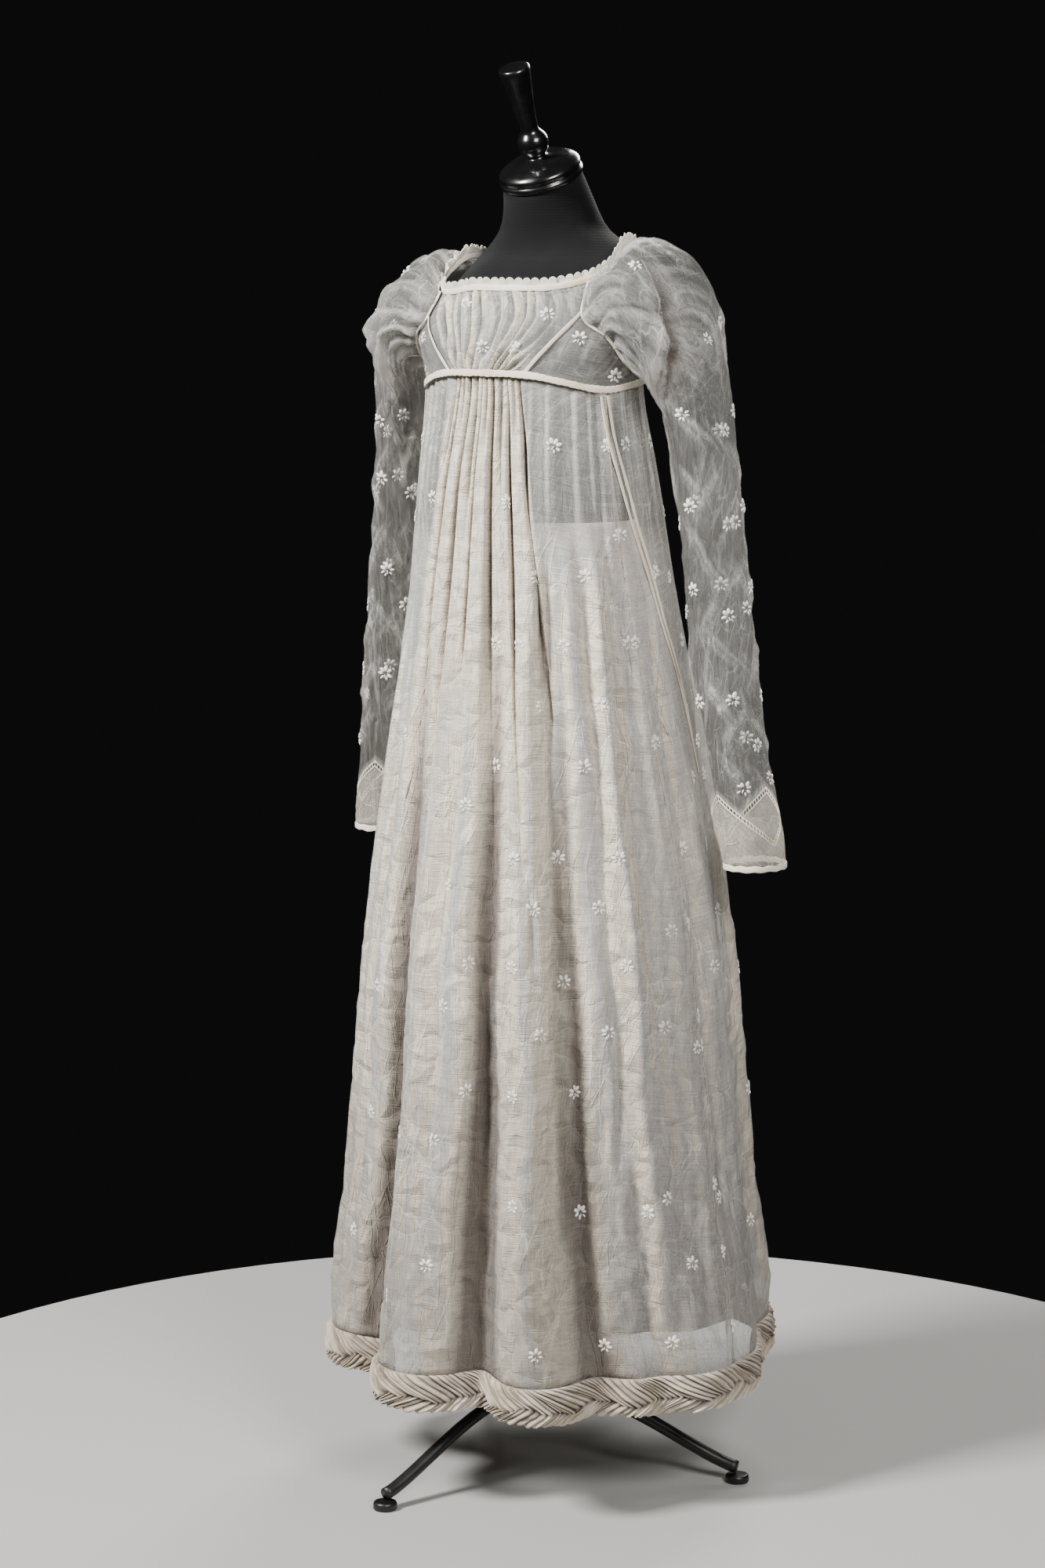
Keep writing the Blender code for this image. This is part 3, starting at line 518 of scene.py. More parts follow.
def wrapped(grid, closed=True, ring=False):
    """A grid with its first column again at the end and, for a ring, its first row as well."""
    if closed:
        grid = np.concatenate([grid, grid[:, :1]], axis=1)
    if ring:
        grid = np.concatenate([grid, grid[:1]], axis=0)
    return grid


def cells(grid, order=(0, 1, 2, 3)):
    """The four corners of each cell of a grid, in this order round it."""
    corners = (grid[:-1, :-1], grid[1:, :-1], grid[1:, 1:], grid[:-1, 1:])
    return np.stack([corners[n] for n in order], axis=2).reshape(-1, 4, *grid.shape[2:])


def grid_object(name, points, material, middle=None, closed=False, ring=False, wall=0.0, **shares):
    """A sheet over a grid of points given round the torso's axis, with a map in metres.

    The columns join round when closed, the rows as well for a ring. Faces look away from the
    middle, which is the upright axis unless it is given. A wall is added half to each side.
    """
    middle = np.array([0, POLE_Y, 0]) + points * [0, 0, 1] if middle is None else middle
    faced = np.cross(gradient(points, 0, ring), gradient(points, 1, closed))
    order = (0, 1, 2, 3) if (faced * (points - middle)).sum() > 0 else (3, 2, 1, 0)
    shape = points.shape[:2]
    quads = cells(wrapped(np.arange(math.prod(shape)).reshape(shape), closed, ring), order)
    placed = settled(points)
    mesh = bpy.data.meshes.new(name)
    mesh.vertices.add(math.prod(shape))
    mesh.vertices.foreach_set("co", placed.astype(np.float32).ravel())
    mesh.loops.add(quads.size)
    mesh.loops.foreach_set("vertex_index", quads.ravel().astype(np.int32))
    mesh.polygons.add(len(quads))
    mesh.polygons.foreach_set("loop_start", np.arange(0, quads.size, 4, dtype=np.int32))
    mesh.update(calc_edges=True)
    whole = wrapped(placed, closed, ring)
    across = lengths_along(whole, 1)
    flat = np.stack([across - across.mean(axis=1, keepdims=True), -lengths_along(whole, 0)], axis=-1)
    layer = mesh.uv_layers.new(name="cloth")
    layer.data.foreach_set("uv", cells(flat, order).astype(np.float32).ravel())
    for word, values in shares.items():
        share = mesh.attributes.new(word, "FLOAT", "POINT")
        share.data.foreach_set("value", np.broadcast_to(values, shape).astype(np.float32).ravel())
    mesh.validate()
    if not wall:
        sew(mesh)
    thing = new_object(name, mesh, material)
    if wall:
        solid = thing.modifiers.new("wall", "SOLIDIFY")
        solid.thickness = wall
        solid.offset = 0
    return thing


def capped(grid):
    """The grid of a tube with a row drawn together at each end, which closes it."""
    first = grid[:1].mean(axis=1, keepdims=True) + 0 * grid[:1]
    last = grid[-1:].mean(axis=1, keepdims=True) + 0 * grid[:1]
    return np.concatenate([first, grid, last])


def joined_object(name, grids, material, caps=()):
    """One object from many small grids whose columns join round, and from these numbered caps."""
    faces = []
    start = 0
    for points in grids:
        index = start + np.arange(points[..., 0].size).reshape(points.shape[:2])
        faces.append(cells(wrapped(index), (0, 3, 2, 1)))
        start += index.size
    places = settled(np.concatenate([points.reshape(-1, 3) for points in grids]))
    mesh = bpy.data.meshes.new(name)
    mesh.from_pydata(places.tolist(), [], np.concatenate(faces).tolist() + list(caps))
    mesh.validate()
    if not caps:
        sew(mesh)
    return new_object(name, mesh, material)


# ---- finishes ----------------------------------------------------------------------------------
def linear(code):
    """A six-figure sRGB hex colour as linear red, green, blue and one."""
    values = [int(code[i : i + 2], 16) / 255 for i in (0, 2, 4)]
    return (*[v / 12.92 if v <= 0.04045 else ((v + 0.055) / 1.055) ** 2.4 for v in values], 1.0)


def fill(tree, node, inputs):
    """Sets or links each of these inputs of a node."""
    for name, value in inputs.items():
        if isinstance(value, bpy.types.NodeSocket):
            tree.links.new(value, node.inputs[name])
        else:
            node.inputs[name].default_value = value


def add_node(tree, kind, output, inputs, stops=(), **settings):
    """Adds a node with its settings and links, and returns one of its outputs.

    The stops of a colour ramp are pairs of a position and an sRGB hex colour or a grey level.
    """
    node = tree.nodes.new(kind)
    for name, value in settings.items():
        setattr(node, name, value)
    fill(tree, node, inputs)
    for number, (position, value) in enumerate(stops):
        if number == len(node.color_ramp.elements):
            node.color_ramp.elements.new(1.0)
        element = node.color_ramp.elements[number]
        element.position = position
        if isinstance(value, str):
            value = linear(value)
        element.color = (value, value, value, 1.0) if isinstance(value, float) else tuple(value)
    return node.outputs[output]


def new_material(name, inputs):
    """A material whose Principled shader holds these values, with its tree and its shader."""
    material = bpy.data.materials.new(name)
    material.use_nodes = True
    tree = material.node_tree
    shader = tree.nodes["Principled BSDF"]
    fill(tree, shader, inputs)
    return material, tree, shader


COTTON = {
    "Roughness": 0.88,
    "IOR": 1.45,
    "Specular IOR Level": 0.25,
    "Sheen Weight": 0.20,
    "Sheen Roughness": 0.45,
}


def muslin(name, colours, leans, line_cover, line_width, stretch):
    """Cotton muslin, hand spun and woven far apart, long used and never pressed quite flat.

    The eye gets a white veil of slubs both ways, creamier where folds lie close, crossed by the
    bright lines of old creases. The slubs are drawn two times as coarse as the real 0.4 mm yarns,
    so that they show. The leans are the old creases' slants to the warp, in radians; the other
    numbers say how much closer their lines look, how wide they are and how long for their width.
    """
    material, tree, shader = new_material(name, COTTON)
    flat = add_node(tree, "ShaderNodeUVMap", "UV", {}, uv_map="cloth")
    place = add_node(tree, "ShaderNodeTexCoord", "Object", {})
    cover = add_node(tree, "ShaderNodeAttribute", "Fac", {}, attribute_name="cover")
    yarns = []
    for drawn in ((1.0, 0.014, 1.0), (0.016, 1.0, 1.0)):
        run = add_node(tree, "ShaderNodeMapping", "Vector", {"Vector": flat, "Scale": drawn})
        inputs = {"Vector": run, "Scale": 1250.0, "Detail": 1.0}
        yarn = add_node(tree, "ShaderNodeTexNoise", "Fac", inputs, noise_dimensions="2D")
        yarns.append(yarn)
    weave = add_node(tree, "ShaderNodeMath", "Value", {0: yarns[0], 1: yarns[1]}, operation="ADD")
    inputs = {"Value": weave, "From Min": 0.76, "From Max": 1.24, "To Min": 0.76, "To Max": 1.24}
    uneven = add_node(tree, "ShaderNodeMapRange", "Result", inputs)
    inputs = {"Vector": place, "Scale": 11.0, "Detail": 3.0, "Roughness": 0.6}
    cloudy = add_node(tree, "ShaderNodeTexNoise", "Fac", inputs)
    inputs = {"Value": cloudy, "From Min": 0.32, "From Max": 0.68, "To Min": 0.88, "To Max": 1.12}
    patchy = add_node(tree, "ShaderNodeMapRange", "Result", inputs)
    lines = None
    for number, lean in enumerate(leans):
        inputs = {
            "Vector": flat,
            "Location": (0.37 * number, 0.11 * number, 0.0),
            "Rotation": (0.0, 0.0, lean),
            "Scale": (1.0, stretch, 1.0),
        }
        run = add_node(tree, "ShaderNodeMapping", "Vector", inputs, vector_type="TEXTURE")
        inputs = {"Vector": run, "Scale": 40.0, "Detail": 0.0, "Distortion": 0.15}
        fold = add_node(tree, "ShaderNodeTexNoise", "Fac", inputs, noise_dimensions="2D")
        inputs = {0: fold, 1: 0.5}
        away = add_node(tree, "ShaderNodeMath", "Value", inputs, operation="SUBTRACT")
        away = add_node(tree, "ShaderNodeMath", "Value", {0: away}, operation="ABSOLUTE")
        inputs = {"Value": away, "From Max": line_width, "To Min": 1.0, "To Max": 0.0}
        line = add_node(
            tree, "ShaderNodeMapRange", "Result", inputs, interpolation_type="SMOOTHSTEP"
        )
        if lines is None:
            lines = line
        else:
            inputs = {0: lines, 1: line}
            lines = add_node(tree, "ShaderNodeMath", "Value", inputs, operation="MAXIMUM")
    inputs = {"Vector": flat, "Scale": 24.0, "Detail": 2.0}
    bent = add_node(tree, "ShaderNodeTexNoise", "Color", inputs, noise_dimensions="2D")
    inputs = {0: bent, 1: (0.030, 0.045, 0.0), 2: flat}
    pulled = add_node(tree, "ShaderNodeVectorMath", "Vector", inputs, operation="MULTIPLY_ADD")
    inputs = {"Vector": pulled, "Scale": 26.0}
    edges = {"feature": "DISTANCE_TO_EDGE", "voronoi_dimensions": "2D"}
    facets = add_node(tree, "ShaderNodeTexVoronoi", "Distance", inputs, **edges)
    inputs = {"Value": facets, "From Min": 0.0, "From Max": 0.05, "To Min": 0.8, "To Max": 0.0}
    line = add_node(tree, "ShaderNodeMapRange", "Result", inputs)
    inputs = {0: lines, 1: line}
    lines = add_node(tree, "ShaderNodeMath", "Value", inputs, operation="MAXIMUM")
    inputs = {"Value": cloudy, "From Min": 0.40, "From Max": 0.58, "To Min": 0.30, "To Max": 1.0}
    here = add_node(tree, "ShaderNodeMapRange", "Result", inputs)
    inputs = {0: lines, 1: here}
    lines = add_node(tree, "ShaderNodeMath", "Value", inputs, operation="MULTIPLY")
    inputs = {0: lines, 1: line_cover, 2: 1.0}
    doubled = add_node(tree, "ShaderNodeMath", "Value", inputs, operation="MULTIPLY_ADD")
    veil = cover
    for layer in (uneven, patchy, doubled):
        inputs = {0: veil, 1: layer}
        veil = add_node(tree, "ShaderNodeMath", "Value", inputs, operation="MULTIPLY")
    inputs = {"Vector": place, "Scale": 4.5, "Detail": 3.0, "Roughness": 0.65}
    aged = add_node(tree, "ShaderNodeTexNoise", "Fac", inputs)
    inputs = {0: aged, 1: 0.30, 2: cover}
    tone = add_node(tree, "ShaderNodeMath", "Value", inputs, operation="MULTIPLY_ADD")
    # Painted shade: the ramp gives the unshaded colour. Each panel's share of painted shade in its folds
    # and troughs then mixes it towards the shade colour.
    unshaded = add_node(tree, "ShaderNodeValToRGB", "Color", {"Fac": tone}, colours)
    hollow = add_node(tree, "ShaderNodeAttribute", "Fac", {}, attribute_name="hollow")
    inputs = {0: hollow, 6: unshaded, 7: linear(PAINTED_SHADE_COLOUR)}
    colour = add_node(tree, "ShaderNodeMix", 2, inputs, data_type="RGBA")
    inputs = {0: facets, 1: 10.0, 2: weave}
    level = add_node(tree, "ShaderNodeMath", "Value", inputs, operation="MULTIPLY_ADD")
    inputs = {0: lines, 1: 1.2, 2: level}
    level = add_node(tree, "ShaderNodeMath", "Value", inputs, operation="MULTIPLY_ADD")
    inputs = {"Height": level, "Distance": 0.0014, "Strength": 1.0}
    fill(
        tree,
        shader,
        {
            "Base Color": colour,
            "Alpha": add_node(
                tree, "ShaderNodeMath", "Value", {0: veil, 1: 1.0}, operation="MINIMUM"
            ),
            "Normal": add_node(tree, "ShaderNodeBump", "Normal", inputs),
        },
    )
    return material


def lining():
    """Cotton lining: closer cotton, which hides what is behind it and hangs in soft creases."""
    material, tree, shader = new_material("cotton_lining", COTTON)
    flat = add_node(tree, "ShaderNodeUVMap", "UV", {}, uv_map="cloth")
    place = add_node(tree, "ShaderNodeTexCoord", "Object", {})
    inputs = {"Vector": place, "Scale": 6.0, "Detail": 4.0}
    tone = add_node(tree, "ShaderNodeTexNoise", "Fac", inputs)
    stops = ((0.3, "CBBFBB"), (0.7, "DFD5D1"))
    # Painted shade: the unshaded colour is mixed towards the shade colour by the lining's share of
    # painted shade, which is set in its folds and grows towards its hem.
    unshaded = add_node(tree, "ShaderNodeValToRGB", "Color", {"Fac": tone}, stops)
    hollow = add_node(tree, "ShaderNodeAttribute", "Fac", {}, attribute_name="hollow")
    mixed = {0: hollow, 6: unshaded, 7: linear(PAINTED_SHADE_COLOUR)}
    run = add_node(tree, "ShaderNodeMapping", "Vector", {"Vector": flat, "Scale": (1.0, 0.4, 1.0)})
    inputs = {"Vector": run, "Scale": 34.0, "Detail": 6.0, "Roughness": 0.55}
    soft = add_node(tree, "ShaderNodeTexNoise", "Fac", inputs)
    inputs = {"Height": soft, "Distance": 0.006, "Strength": 0.6}
    fill(
        tree,
        shader,
        {
            "Base Color": add_node(tree, "ShaderNodeMix", 2, mixed, data_type="RGBA"),
            "Normal": add_node(tree, "ShaderNodeBump", "Normal", inputs),
        },
    )
    return material


def solid_cotton(name, stops, ribs, relief):
    """Tape, braid and turned edges: close or doubled cotton, so creamier and solid, with thread
    ribs. The ramp's first colour is the brown that handling leaves.
    """
    material, tree, shader = new_material(name, COTTON)
    place = add_node(tree, "ShaderNodeTexCoord", "Object", {})
    inputs = {"Vector": place, "Scale": ribs, "Detail": 3.0}
    thread = add_node(tree, "ShaderNodeTexNoise", "Fac", inputs)
    inputs = {"Vector": place, "Scale": 14.0, "Detail": 5.0, "Roughness": 0.7}
    tone = add_node(tree, "ShaderNodeTexNoise", "Fac", inputs)
    # Painted shade: the ramp gives the unshaded colour, which the braid's share of painted shade in its
    # crevices mixes towards the shade colour.
    unshaded = add_node(tree, "ShaderNodeValToRGB", "Color", {"Fac": tone}, stops)
    hollow = add_node(tree, "ShaderNodeAttribute", "Fac", {}, attribute_name="hollow")
    inputs = {0: hollow, 6: unshaded, 7: linear(PAINTED_SHADE_COLOUR)}
    colour = add_node(tree, "ShaderNodeMix", 2, inputs, data_type="RGBA")
    inputs = {"Height": thread, "Distance": relief, "Strength": 0.7}
    fill(
        tree,
        shader,
        {
            "Base Color": colour,
            "Normal": add_node(tree, "ShaderNodeBump", "Normal", inputs),
        },
    )
    return material


def floss():
    """Cotton floss in padded satin stitch: the whitest thing on the gown, ribbed by its threads."""
    inputs = COTTON | {"Roughness": 0.6, "Base Color": linear("F6F3EB")}
    material, tree, shader = new_material("cotton_floss_embroidery", inputs)
    place = add_node(tree, "ShaderNodeTexCoord", "Object", {})
    inputs = {"Vector": place, "Scale": 1800.0, "Detail": 2.0}
    thread = add_node(tree, "ShaderNodeTexNoise", "Fac", inputs)
    inputs = {"Height": thread, "Distance": 0.0012, "Strength": 0.6}
    fill(tree, shader, {"Normal": add_node(tree, "ShaderNodeBump", "Normal", inputs)})
    return material


def jersey():
    """Black cotton jersey stretched over padding: it drinks the light, and shows a faint knit."""
    inputs = COTTON | {"Specular IOR Level": 0.15, "Sheen Weight": 0.08}
    material, tree, shader = new_material("black_cotton_jersey", inputs)
    place = add_node(tree, "ShaderNodeTexCoord", "Object", {})
    tone = add_node(tree, "ShaderNodeTexNoise", "Fac", {"Vector": place, "Scale": 9.0})
    stops = ((0.3, "0B0B0C"), (0.7, "161617"))
    inputs = {"Vector": place, "Scale": 260.0, "Distortion": 3.0, "Detail": 2.0}
    knit = add_node(tree, "ShaderNodeTexWave", "Fac", inputs, bands_direction="Z")
    inputs = {"Height": knit, "Distance": 0.0004, "Strength": 0.5}
    fill(
        tree,
        shader,
        {
            "Base Color": add_node(tree, "ShaderNodeValToRGB", "Color", {"Fac": tone}, stops),
            "Normal": add_node(tree, "ShaderNodeBump", "Normal", inputs),
        },
    )
    return material


def black_gloss(name, colour, roughness, coat, grain):
    """Lacquer on turned wood or paint on iron: black and glossy, unevenly rubbed, faintly rippled."""
    inputs = {"Base Color": linear(colour), "Coat Weight": coat, "Coat Roughness": 0.08}
    material, tree, shader = new_material(name, inputs)
    place = add_node(tree, "ShaderNodeTexCoord", "Object", {})
    inputs = {"Vector": place, "Scale": 50.0, "Detail": 5.0}
    rubbed = add_node(tree, "ShaderNodeTexNoise", "Fac", inputs)
    inputs = {"Value": rubbed, "From Min": 0.3, "From Max": 0.7}
    inputs |= {"To Min": roughness, "To Max": roughness + 0.2}
    dull = add_node(tree, "ShaderNodeMapRange", "Result", inputs)
    ripple = add_node(tree, "ShaderNodeTexNoise", "Fac", {"Vector": place, "Scale": grain})
    inputs = {"Height": ripple, "Distance": 0.0004, "Strength": 0.3}
    bumped = add_node(tree, "ShaderNodeBump", "Normal", inputs)
    fill(tree, shader, {"Roughness": dull, "Normal": bumped})
    return material


def lace():
    """Bobbin lace: cotton thread round small holes, which are too small to be cut in the mesh."""
    inputs = COTTON | {"Base Color": linear("F0EADB")}
    material, tree, shader = new_material("cotton_bobbin_lace", inputs)
    flat = add_node(tree, "ShaderNodeUVMap", "UV", {}, uv_map="cloth")
    inputs = {"Vector": flat, "Scale": 420.0, "Randomness": 0.45}
    cells = add_node(tree, "ShaderNodeTexVoronoi", "Distance", inputs)
    inputs = {"Height": cells, "Distance": 0.002, "Strength": 0.6}
    stops = ((0.14, 0.25), (0.26, 1.0))
    fill(
        tree,
        shader,
        {
            "Alpha": add_node(tree, "ShaderNodeValToRGB", "Color", {"Fac": cells}, stops),
            "Normal": add_node(tree, "ShaderNodeBump", "Normal", inputs),
        },
    )
    return material


# Painted shade: the grey brown that cloth and braid colours are mixed towards by their share of painted
# shade. That share is set in folds, troughs and crevices, and it grows towards the hem.
PAINTED_SHADE_COLOUR = "5C524C"
MUSLIN_LEANS = (0.06, -0.30)
SLEEVE_LEANS = (0.55, -0.42, 0.10)
LINE_COVER = 0.9
FINISHES = {}


def finish(name):
    """Each finish is made once, when the first piece asks for it."""
    if name in FINISHES:
        return FINISHES[name]
    light = looks().muslin_light
    cream = looks().muslin_cream
    veiled = ((0.25, light), (0.62, light), (0.85, cream))
    handled = ((0.30, "F0EBDF"), (0.70, "E6DDC9"), (1.0, "D2C3A4"))
    tape = ((0.28, "CDB992"), (0.40, "E3D9C4"), (0.62, "F0E9DA"))
    braid = ((0.28, "85745F"), (0.42, "B0A38F"), (0.62, "CFC5B7"))
    makers = {
        "muslin": lambda: muslin("cotton_muslin", veiled, MUSLIN_LEANS, LINE_COVER, 0.022, 14.0),
        "sleeve": lambda: muslin("sleeve_muslin", veiled, SLEEVE_LEANS, 2 * LINE_COVER, 0.014, 7.0),
        "cuff": lambda: muslin("cuff_muslin", handled, SLEEVE_LEANS, LINE_COVER, 0.020, 7.0),
        "lining": lining,
        "tape": lambda: solid_cotton("cotton_tape", tape, 1400.0, 0.0006),
        "braid": lambda: solid_cotton("plaited_cotton", braid, 900.0, 0.0010),
        "floss": floss,
        "lace": lace,
        "jersey": jersey,
        "lacquer": lambda: black_gloss("black_lacquered_wood", "0B0B0C", 0.18, 0.8, 25.0),
        "iron": lambda: black_gloss("black_painted_iron", "101011", 0.30, 0.0, 900.0),
    }
    FINISHES[name] = makers[name]()
    return FINISHES[name]


# ---- skirt -------------------------------------------------------------------------------------
PANELS = {"skirt": {}, "bodice": {}, "sleeves": {}}
SKIRT_CREASES = table(
    "angle height length lean width depth",
    (-71, 0.578, 0.212, 1, 0.0090, 0.0030),
    (-63, 0.616, 0.112, -3, 0.0060, -0.0020),
    (-62, 0.388, 0.082, -28, 0.0050, 0.0022),
    (-61, 0.437, 0.070, 27, 0.0050, 0.0018),
    (-62, 0.337, 0.046, -35, 0.0040, -0.0018),
    (-63, 0.316, 0.085, 27, 0.0050, 0.0020),
    (-61, 0.258, 0.054, -35, 0.0050, 0.0020),
    (-49, 0.570, 0.092, -29, 0.0060, 0.0022),
    (-47, 0.493, 0.081, 24, 0.0050, 0.0018),
    (-42, 0.413, 0.090, -30, 0.0060, 0.0024),
    (-38, 0.445, 0.097, 14, 0.0050, -0.0020),
    (-31, 0.509, 0.108, 11, 0.0070, 0.0022),
    (-26, 0.403, 0.092, -27, 0.0050, 0.0022),
    (-22, 0.423, 0.096, 26, 0.0050, 0.0018),
    (-7, 0.428, 0.107, -13, 0.0060, 0.0022),
    (-7, 0.397, 0.094, 29, 0.0040, -0.0018),
    (-44, 0.287, 0.079, -34, 0.0050, 0.0022),
    (-43, 0.273, 0.081, 30, 0.0050, -0.0018),
    (-29, 0.290, 0.080, -18, 0.0050, 0.0020),
    (-27, 0.305, 0.089, 29, 0.0050, 0.0018),
    (-15, 0.267, 0.085, -23, 0.0050, 0.0022),
    (-46, 0.253, 0.059, 50, 0.0040, 0.0018),
    (-28, 0.223, 0.053, 84, 0.0040, 0.0016),
    (-16, 0.208, 0.055, 69, 0.0040, 0.0016),
    (-49, 0.701, 0.134, -3, 0.0080, 0.0024),
    (-37, 0.726, 0.160, -2, 0.0080, -0.0022),
    (-29, 0.670, 0.176, 0, 0.0080, 0.0024),
    (-16, 0.727, 0.122, 3, 0.0070, 0.0020),
    (-31, 0.653, 0.078, -19, 0.0050, 0.0018),
    (-6, 0.668, 0.160, 3, 0.0080, 0.0022),
    (6, 0.566, 0.156, 1, 0.0070, 0.0022),
    (19, 0.480, 0.154, 20, 0.0070, -0.0020),
    (-40, 0.902, 0.108, -5, 0.0070, 0.0022),
    (-27, 0.933, 0.107, -6, 0.0070, -0.0020),
    (-50, 0.954, 0.141, -5, 0.0080, 0.0024),
    (-56, 1.119, 0.122, -1, 0.0080, 0.0022),
    (-43, 1.102, 0.120, -5, 0.0080, -0.0020),
    (-33, 1.041, 0.142, -3, 0.0070, 0.0020),
    (-51, 1.231, 0.070, -1, 0.0060, 0.0016),
    (-39, 1.223, 0.071, -10, 0.0050, -0.0014),
    (-138, 0.578, 0.120, -1, 0.0070, 0.0024),
    (-136, 0.500, 0.109, 18, 0.0050, 0.0018),
    (-96, 0.485, 0.093, -28, 0.0060, 0.0020),
    (-92, 0.531, 0.095, 10, 0.0060, -0.0020),
    (-92, 0.377, 0.078, -26, 0.0060, 0.0024),
    (-90, 0.352, 0.094, 11, 0.0050, 0.0020),
    (-130, 0.315, 0.100, 11, 0.0050, 0.0020),
    (-136, 0.292, 0.091, -14, 0.0050, 0.0022),
    (-112, 0.240, 0.136, -66, 0.0050, -0.0020),
    (-87, 0.250, 0.079, -15, 0.0050, 0.0022),
    (-135, 0.197, 0.060, -34, 0.0050, 0.0020),
    (-91, 0.195, 0.046, -42, 0.0050, 0.0018),
    (-94, 0.629, 0.107, -8, 0.0070, 0.0022),
    (-87, 0.650, 0.124, 1, 0.0070, -0.0022),
    (-126, 0.734, 0.100, -5, 0.0070, 0.0020),
    (-111, 0.801, 0.111, -23, 0.0070, -0.0020),
)
SKIRT_FLUTES = table(
    "top_angle hem_angle high low spread depth",
    (-64, -61, 1.20, 0.18, 3.0, 0.0060),
    (-56, -50, 1.22, 0.30, 2.2, -0.0050),
    (-47, -37, 1.18, 0.16, 3.2, 0.0050),
    (-40, -29, 1.16, 0.40, 2.0, -0.0045),
    (-36, -20, 1.20, 0.18, 2.6, 0.0050),
    (-30, -12, 1.20, 0.30, 2.2, -0.0040),
    (-18, -3, 1.10, 0.16, 3.0, 0.0050),
    (-6, 8, 1.15, 0.30, 2.2, -0.0045),
    (4, 18, 1.00, 0.16, 3.0, 0.0045),
    (-84, -88, 0.90, 0.16, 2.6, 0.0050),
    (-90, -96, 1.00, 0.30, 2.0, -0.0050),
    (-97, -104, 0.95, 0.18, 2.4, 0.0050),
    (-103, -112, 0.90, 0.40, 1.8, -0.0040),
    (-120, -136, 1.00, 0.18, 2.6, 0.0050),
    (-126, -143, 1.05, 0.30, 2.2, -0.0045),
    (-134, -152, 1.10, 0.16, 2.6, 0.0050),
    (-142, -160, 1.10, 0.30, 2.2, -0.0040),
    (-152, -169, 1.10, 0.16, 3.0, 0.0045),
    (36, 44, 1.10, 0.16, 3.0, 0.0050),
    (50, 56, 1.15, 0.30, 2.4, -0.0045),
    (60, 70, 1.15, 0.16, 3.0, 0.0050),
    (84, 80, 1.15, 0.16, 2.6, 0.0050),
    (96, 104, 1.10, 0.30, 2.2, -0.0045),
    (112, 130, 1.15, 0.16, 3.0, 0.0050),
    (126, 138, 1.10, 0.30, 2.4, -0.0045),
    (158, 164, 1.10, 0.16, 3.0, 0.0050),
)

# Depth of the trough after each pleat, against the usual one, and the height where it dies out.
PLEAT_TROUGHS = table(
    "share ends",
    (0.7, 1.16),
    (1.2, 0.78),
    (0.8, 1.21),
    (1.3, 0.66),
    (0.8, 1.10),
    (1.1, 0.94),
    (0.7, 1.19),
    (1.2, 0.72),
    (0.9, 1.13),
    (1.3, 0.60),
    (0.7, 1.20),
    (1.1, 0.88),
)
WAIST_RIPPLE = 0.0009
RIPPLE_COVER = 0.03
FELLED_SEAM_COVER = 0.30


def flute_depth(angle, height):
    """Long soft ridges and troughs: bell curves of the angle, rising and fading along the skirt."""
    total = np.zeros(np.broadcast(angle, height).shape)
    for flute in SKIRT_FLUTES:
        down = (flute.high - height) / (flute.high - HEM_HEIGHT)
        middle = flute.top_angle + (flute.hem_angle - flute.top_angle) * np.clip(down, 0, 1)
        wander = 0.9 * np.sin(height * 19 + flute.top_angle) * ease(down * 2)
        shown = ease((flute.high - height) / 0.20) * ease((height - flute.low) / 0.12 + 0.35)
        away = off_middle(angle, middle + wander)
        total = total + 1.4 * flute.depth * shown * bell(away, flute.spread)
    return total


def turned_round(table):
    """The same kinds of crease for the sides that the first table leaves plain."""
    return tuple(
        row._replace(
            angle=100 - 0.93 * (row.angle + 60) + 9 * math.sin(number * 2.3),
            height=min(1.15, max(0.20, row.height + 0.05 * math.sin(number * 1.7))),
            lean=-row.lean,
        )
        for number, row in enumerate(table)
    )


ALL_CREASES = SKIRT_CREASES + turned_round(SKIRT_CREASES)


def waist_ripple(angle, height):
    """Soft upright waves in the plain cloth under the waist: three sines of the angle, fading down."""
    ripple = np.sin(0.83 * angle + 2.0 * height) + 0.8 * np.sin(0.49 * angle + 1.3)
    ripple = ripple + 0.5 * np.sin(1.37 * angle + 6.0 * height)
    return ripple * ease((height - 0.98) / 0.25) * (0.35 + 0.65 * ease((1.315 - height) / 0.03))


def skirt_surface(angle, height, pleat):
    """The skirt with its folds, flutes, creases and crumples, each set out along the normal.

    The pleat is 1 on a crest and at the seams' level, and less in a trough.
    """
    points = skirt_point(angle, height, (1 - pleat) * pleat_depth(height))
    radius = np.hypot(points[..., 0], points[..., 1])
    down = ease((1.29 - height) / 0.18)
    hem = 0.35 + 0.65 * ease((height - HEM_HEIGHT - TRIM_HEIGHT) / 0.05)
    out = flute_depth(angle, height) + creases(ALL_CREASES, angle, height, radius)
    out = out + crumple(points, "old folds") * down
    out = out + crumple(points, "skirt") * ease((0.95 - height) / 0.45)
    seam = ease(np.abs((1.30 - height)) / 0.06)
    normal = normals_of(points, points * [0, 0, 1])
    out = (out * down * seam + WAIST_RIPPLE * waist_ripple(angle, height)) * hem
    return points + normal * out[..., None]


def edge_on(points, smooth, middle, closed=False):
    """How steeply the folded cloth turns away from its smooth shape: the sine between their normals."""
    folded = normals_of(points, middle, closed)
    plain = normals_of(smooth, middle, closed)
    return np.sqrt(np.clip(1 - (folded * plain).sum(axis=-1) ** 2, 0, 1))


